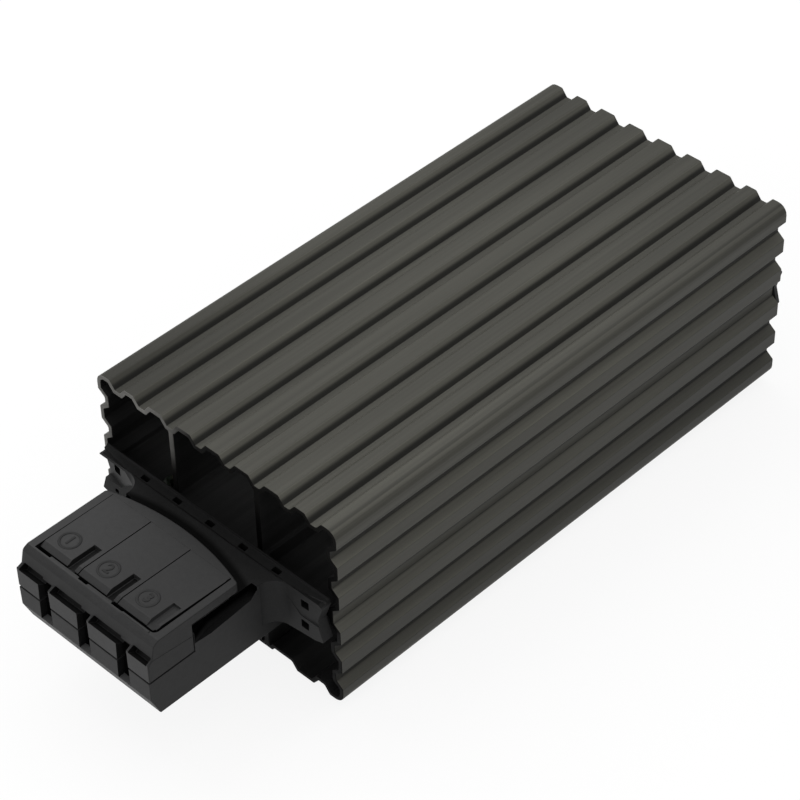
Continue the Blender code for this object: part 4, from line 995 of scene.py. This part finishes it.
def build_cover():
    face = BLOCK_FRONT + 1.3
    outline = [
        (BLOCK_FRONT, COVER_LOW), (SHOULDER - 0.3, COVER_LOW), (SHOULDER - 0.3, COVER_TOP),
        (face + 2.15, COVER_TOP), (face + 0.75, MID + 8.9), (face, MID + 5.65), (BLOCK_FRONT, SHOULDER_TOP),
    ]
    outline = rounded(outline, [0.12, 0.1, 0, 1.6, 1.2, 0, 0.25])
    cover = prism("terminal_upper", outline, -HALF_BLOCK, HALF_BLOCK, 'X')
    overlap = SHOULDER - 1.8
    roof = prism("roof", bow_plan(HALF_BLOCK, 12.45, 9.3, overlap, 0.8), COVER_UNDER, COVER_TOP, 'Z')
    neck = bow_plan(HALF_BLOCK - 1.4, 13.6, 10.4, overlap)
    # The neck takes painted shade
    neck = paint(prism("neck", neck, SHOULDER_TOP + 0.3, COVER_UNDER + 0.3, 'Z'), DEEP)
    combine(cover, [roof, neck], 'UNION')
    clean(cover)

    def rim(p, e):
        along = abs(e.verts[0].co.z - e.verts[1].co.z) < 0.01
        top = abs(p.z - COVER_TOP) < 0.05 and along
        front = abs(abs(p.x) - HALF_BLOCK) < 0.01 and p.y < SHOULDER - 1 and p.z > SHOULDER_TOP + 0.2
        return top or front

    soften(cover, 0.24, 3, 35, choose=rim)
    opening = prism("opening", opening_plan(), COVER_UNDER - 0.3, COVER_TOP + 1, 'Z')
    cavity = block("cavity", (-17.9, 17.55), (LEVER_FRONT - 0.2, HINGE - 1.35), (COVER_LOW - 1, COVER_UNDER))
    # The opening and the cavity take painted shade
    cutters = [paint(opening, DEEP), paint(cavity, DEEP)]
    cutters += groove_cutters() + slot_cutters("upper", COVER_LOW - 1, MID + 5.6)
    combine(cover, cutters, 'DIFFERENCE')
    for sign in (-1, 1):
        combine(cover, side_pad(sign), 'UNION')
    clean(cover)
    # Painted shade on the leaning faces, painted light and shade across the top, painted light on the raised
    # fronts
    paint(cover, SOFT, lambda p, n: p.z > MID + 5.6 and n.y < -0.8 and p.y < BLOCK_FRONT + 3.3)
    paint(cover, ROOF, lambda p, n: n.z > 0.9 and p.z > COVER_TOP - 0.05)
    paint(cover, EDGE_WEAR_AND_LIGHT, lambda p, n: n.y < -0.9 and p.y < BLOCK_FRONT + 0.05)

    def crisp(p, e):
        groove_top = p.z > MID + 5.7 and p.y < BLOCK_FRONT + 1.7
        in_well = abs(p.x) < 18 and LEVER_FRONT - 1.5 < p.y < HINGE and p.z < COVER_TOP - 0.3
        return p.z > COVER_LOW - 0.05 and abs(p.y - HINGE) > 0.02 and not groove_top and not in_well

    # Rounded edges take the edge-wear finish with painted light
    soften(cover, 0.09, 2, 34, 0.3, crisp, EDGE_WEAR_AND_LIGHT)
    # A narrow raised bead in a lighter finish in front of the right lever: a painted highlight
    highlight_bead = rounded([(-0.24, -0.5), (0.24, -0.5), (0.24, 0.2), (-0.24, 0.2)], [0, 0, 0.18, 0.18], 3)
    highlight_bead = paint(prism("highlight_bead", highlight_bead, 8.9, 16.6, 'X'), PAINTED_LIGHT)
    highlight_bead.data.transform(Matrix.Translation((0, LEVER_FRONT - 1.22, COVER_TOP)))
    add_shape(cover, highlight_bead)
    finish_piece(cover, "housing", "terminal_cover")


def ring_mark(place, radius, thickness):
    """A raised ring with a rounded section, half sunk in the surface."""
    around, across = 48, 8
    x, y, z = place
    bm = bmesh.new()
    rings = []
    for number in range(around):
        a = 2 * math.pi * number / around
        ring = []
        for step in range(across):
            b = 2 * math.pi * step / across
            reach = radius + thickness * math.cos(b)
            rise = 0.55 * thickness * math.sin(b)
            ring.append(bm.verts.new((x + reach * math.cos(a), y + reach * math.sin(a), z + rise)))
        rings.append(ring)
    for number, here in enumerate(rings):
        after = rings[(number + 1) % around]
        for step in range(across):
            above = (step + 1) % across
            bm.faces.new((here[step], after[step], after[above], here[above]))
    return paint(link("ring_mark", to_mesh("ring_mark", bm)), PLAIN)


def number_mark(text, place, size):
    """A raised plain number."""
    curve = bpy.data.curves.new("number", 'FONT')
    curve.body = text
    curve.size = size
    curve.align_x = 'CENTER'
    curve.align_y = 'CENTER'
    curve.extrude = 0.07
    curve.bevel_depth = 0.05
    curve.bevel_resolution = 1
    curve.offset = 0.03
    obj = link("number", curve)
    mesh = evaluated(obj)
    bpy.data.objects.remove(obj, do_unlink=True)
    with edited(mesh) as bm:
        bmesh.ops.remove_doubles(bm, verts=bm.verts, dist=0.0005)
    mesh.transform(Matrix.Translation(place))
    return paint(link("number_mark", mesh), PLAIN)


def lever_cutters(side):
    """The notch beside a lever's mark, and the trim of the right lever's outer side."""
    centre = SIDES[side]
    depth = 0.75 if side == "right" else 1.15
    floor = COVER_TOP - depth
    left, right = centre + 2.4, centre + 4.72
    notch = [(left, COVER_TOP + 0.5), (left + 0.35, floor), (right, floor), (right + 0.02, COVER_TOP + 0.5)]
    notch = prism("notch", notch, LEVER_FRONT - 1, LEVER_FRONT + 7.4, 'Y')
    # Painted shade in the notches of the left and middle levers, darkest on the middle one's floor, and on
    # the trim's faces
    cutters = [paint(notch, PLAIN if side == "right" else DULL)]
    if side == "middle":
        paint(notch, DEEP, lambda p, n: n.z < -0.7)
    if side == "right":
        edge = centre + LEVER_HALF
        trim = [
            (edge + 1, HINGE + 1), (edge + 1, LEVER_FRONT - 1), (centre + 4.1, LEVER_FRONT - 1),
            (centre + 4.5, LEVER_FRONT + 0.02), (centre + 5.2, LEVER_FRONT + 0.45),
            (centre + 5.4, LEVER_FRONT + 1.1), (edge - 0.02, HINGE - 1.0), (edge, HINGE + 1),
        ]
        cutters.append(paint(prism("corner_trim", trim, COVER_TOP - 4, COVER_TOP + 1, 'Z'), DEEP))
    return cutters


def build_lever(side, number):
    centre = SIDES[side]
    under, tip = COVER_TOP - 1.7, COVER_TOP - 2.8
    outline = [
        (HINGE - 0.16, under), (HINGE - 0.02, COVER_TOP), (LEVER_FRONT + 1.5, COVER_TOP),
        (LEVER_FRONT, COVER_TOP - 0.6), (LEVER_FRONT + 0.1, tip), (LEVER_FRONT + 6.5, tip),
        (LEVER_FRONT + 8.1, under),
    ]
    outline = rounded(outline, [0, 0, 0.6, 0.12, 0.2, 0.2, 0.2], 4)
    lever = prism(f"lever_{side}", outline, centre - LEVER_HALF, centre + LEVER_HALF, 'X')
    combine(lever, lever_cutters(side), 'DIFFERENCE')
    foot = block("foot", (centre - 2.1, centre + 2.3), (LEVER_FRONT + 8.1, LEVER_FRONT + 9.7),
                 (under - 2.6, under + 0.3))
    combine(lever, foot, 'UNION')
    clean(lever)
    # Painted shade on the front faces below the bevel, on the bevel and on the sides; painted light and shade
    # across the top
    paint(lever, DEEP, lambda p, n: p.z < COVER_TOP - 0.65 and n.y < -0.7)
    paint(lever, SOFT, lambda p, n: p.z > COVER_TOP - 0.65 and n.y < -0.25)
    paint(lever, DEEP, lambda p, n: abs(n.x) > 0.7 and abs(p.x - centre) > 5)
    paint(lever, ROOF, lambda p, n: n.z > 0.9 and p.z > COVER_TOP - 0.05)

    def at_side(p):
        return abs(p.x - centre) > LEVER_HALF - 0.1

    def seen(p):
        return p.y < HINGE - 0.5 and p.z > COVER_TOP - 2.0

    def lengthwise(e):
        return abs(e.verts[0].co.y - e.verts[1].co.y) > 1

    # Seen edges take the edge-wear finish with painted light
    soften(lever, 0.10, 2, 30, 0.3, lambda p, e: seen(p) and not at_side(p), EDGE_WEAR_AND_LIGHT)
    soften(lever, 0.045, 1, 30, 0.3, lambda p, e: seen(p) and at_side(p) and lengthwise(e))
    place = (centre - 2.0, LEVER_FRONT + 4.75, COVER_TOP)
    add_shape(lever, ring_mark(place, 2.2, 0.32))
    add_shape(lever, number_mark(number, place, 3.5))
    finish_piece(lever, f"lever_{side}", f"press_lever_{side}")


def build_rear_cap():
    edge = 34.4
    half = [
        (edge * 0.64, MID - 6.4), (edge - 2.4, MID - 5.5), (edge, MID - 4.3), (edge - 1.2, MID),
        (edge, MID + 4.8), (edge - 1.0, MID + 5.3),
    ]
    cap = prism("cap", rounded(mirrored(half), 0.5), REAR + 0.3, REAR + 1.5, 'Y')
    soften(cap, 0.3, 3, 40, choose=lambda p, e: p.y > REAR + 1.4)
    panel = rounded(mirrored([(24.0, MID - 4.2), (27.5, MID), (26.0, MID + 3.6)]), 0.8)
    combine(cap, prism("panel", panel, REAR + 1.15, REAR + 3, 'Y'), 'DIFFERENCE')
    combine(cap, block("plug", (-12.5, 12.5), (REAR - 8, REAR + 0.9), (MID - 2.7, MID + 2.7)), 'UNION')
    clean(cap)
    finish_piece(cap, "housing", "rear_cap")


build_heatsink()
build_base()
build_cover()
for lever_side, lever_number in (("left", "1"), ("middle", "2"), ("right", "3")):
    build_lever(lever_side, lever_number)
build_rear_cap()


# ---------------------------------------------------------------- carried-over nodes

def dress(names, mat, edge=0.0):
    """Give CAD nodes their material, and round their edges a little."""
    for name in names:
        obj = NODES[name]
        for slot in obj.material_slots:
            slot.material = mat
        if edge:
            weld = obj.modifiers.new("weld", 'WELD')
            weld.merge_threshold = WELD / PER_METRE
            bevel = obj.modifiers.new("edges", 'BEVEL')
            bevel.width = edge
            bevel.segments = 2
            bevel.limit_method = 'ANGLE'
            bevel.angle_limit = math.radians(40)


dress(["rail_clip"], STEEL, 0.00008)
dress(["clamp_spring_left", "clamp_spring_middle", "clamp_spring_right"], STEEL)
dress(["clip_rivet_front", "clip_rivet_rear", "earth_screw"], ZINC)
dress(["contact_bar_left", "contact_bar_middle", "contact_bar_right", "earth_tag"], TINNED)
dress(["electrode_lower", "electrode_upper"], SHEET)
dress(["insulation_lower", "insulation_upper"], FILM)
dress(["ptc_frame"], FRAME)
dress([f"ptc_element_{number}" for number in range(1, 5)], CERAMIC)
dress(["lead_live"], BROWN)
dress(["lead_neutral"], BLUE)
dress(["lead_earth"], EARTH)


# ---------------------------------------------------------------- studio

def diffuse(beside, level):
    made = node(beside, "ShaderNodeBsdfDiffuse")
    return feed(made, {"Color": (level, level, level, 1)}).outputs[0]


def mixed(factor, first, second):
    """Two shaders mixed by a number or an output."""
    return feed(node(first, "ShaderNodeMixShader"), {0: factor, 1: first, 2: second}).outputs[0]


def build_floor():
    """A pale floor that shows white, with the object's soft shadow left on it."""
    radius, drop, steps = 6, 0.00002, 64
    turns = [2 * math.pi * step / steps for step in range(steps)]
    bm = bmesh.new()
    bm.faces.new([bm.verts.new((radius * math.cos(a), radius * math.sin(a), -drop)) for a in turns])
    floor = link("floor", to_mesh("floor", bm))
    mat = bpy.data.materials.new("pale_floor")
    mat.use_nodes = True
    mat.node_tree.nodes.clear()
    out = mat.node_tree.nodes.new("ShaderNodeOutputMaterial")
    glow = feed(node(out, "ShaderNodeEmission"), {"Strength": 1.0})
    seen = mixed(0.87, diffuse(out, 0.88), glow.outputs[0])
    path = node(out, "ShaderNodeLightPath").outputs
    reflected = maths('MAXIMUM', path["Is Glossy Ray"], path["Is Transmission Ray"])
    share = maths('MAXIMUM', path["Is Camera Ray"], reflected)
    feed(out, {"Surface": mixed(share, diffuse(out, 0.62), seen)})
    floor.data.materials.append(mat)


def build_world():
    """Soft studio light that comes from above."""
    world = bpy.data.worlds.new("studio")
    bpy.context.scene.world = world
    world.use_nodes = True
    back = world.node_tree.nodes["Background"]
    up = place_on(node(back, "ShaderNodeTexCoord").outputs["Generated"], "Z")
    feed(back, {"Color": (1, 1, 1, 1), "Strength": ranged(up, 0.12, 0.50, 0.20, 0.95, 'SMOOTHSTEP')})


def lamp(name, place, target, size, power):
    light = bpy.data.lights.new(name, 'AREA')
    light.shape = 'RECTANGLE'
    light.size, light.size_y = size
    light.energy = power
    obj = link(name, light)
    obj.location = place
    obj.rotation_euler = (Vector(target) - Vector(place)).to_track_quat('-Z', 'Y').to_euler()


def build_camera():
    """The camera that took the photograph, solved from the object's edges."""
    data = bpy.data.cameras.new("camera")
    data.lens = 122.93
    data.sensor_width = 36.0
    data.clip_start = 0.01
    data.clip_end = 30
    camera = link("camera", data)
    right = Vector((0.717449, 0.696362, -0.018611))
    down = Vector((0.455285, -0.488958, -0.744067))
    ahead = Vector((-0.52724, 0.525356, -0.667846))
    place = Vector((309.269, -307.114, 418.997 + BASE)) / PER_METRE
    columns = Matrix((right, -down, -ahead)).transposed()
    camera.matrix_world = Matrix.Translation(place) @ columns.to_4x4()
    bpy.context.scene.camera = camera


build_floor()
build_world()
lamp("key", (-0.90, 0.0, 1.45), (0, 0, 0.03), (1.1, 1.1), 7.2)
lamp("overhead", (-0.10, 0.60, 1.3), (0, 0.02, 0.03), (1.0, 0.8), 2.0)
lamp("front", (-0.30, -1.30, 0.45), (0, -0.05, 0.02), (0.9, 0.6), 5.0)
build_camera()
bpy.context.scene.view_settings.view_transform = 'Standard'
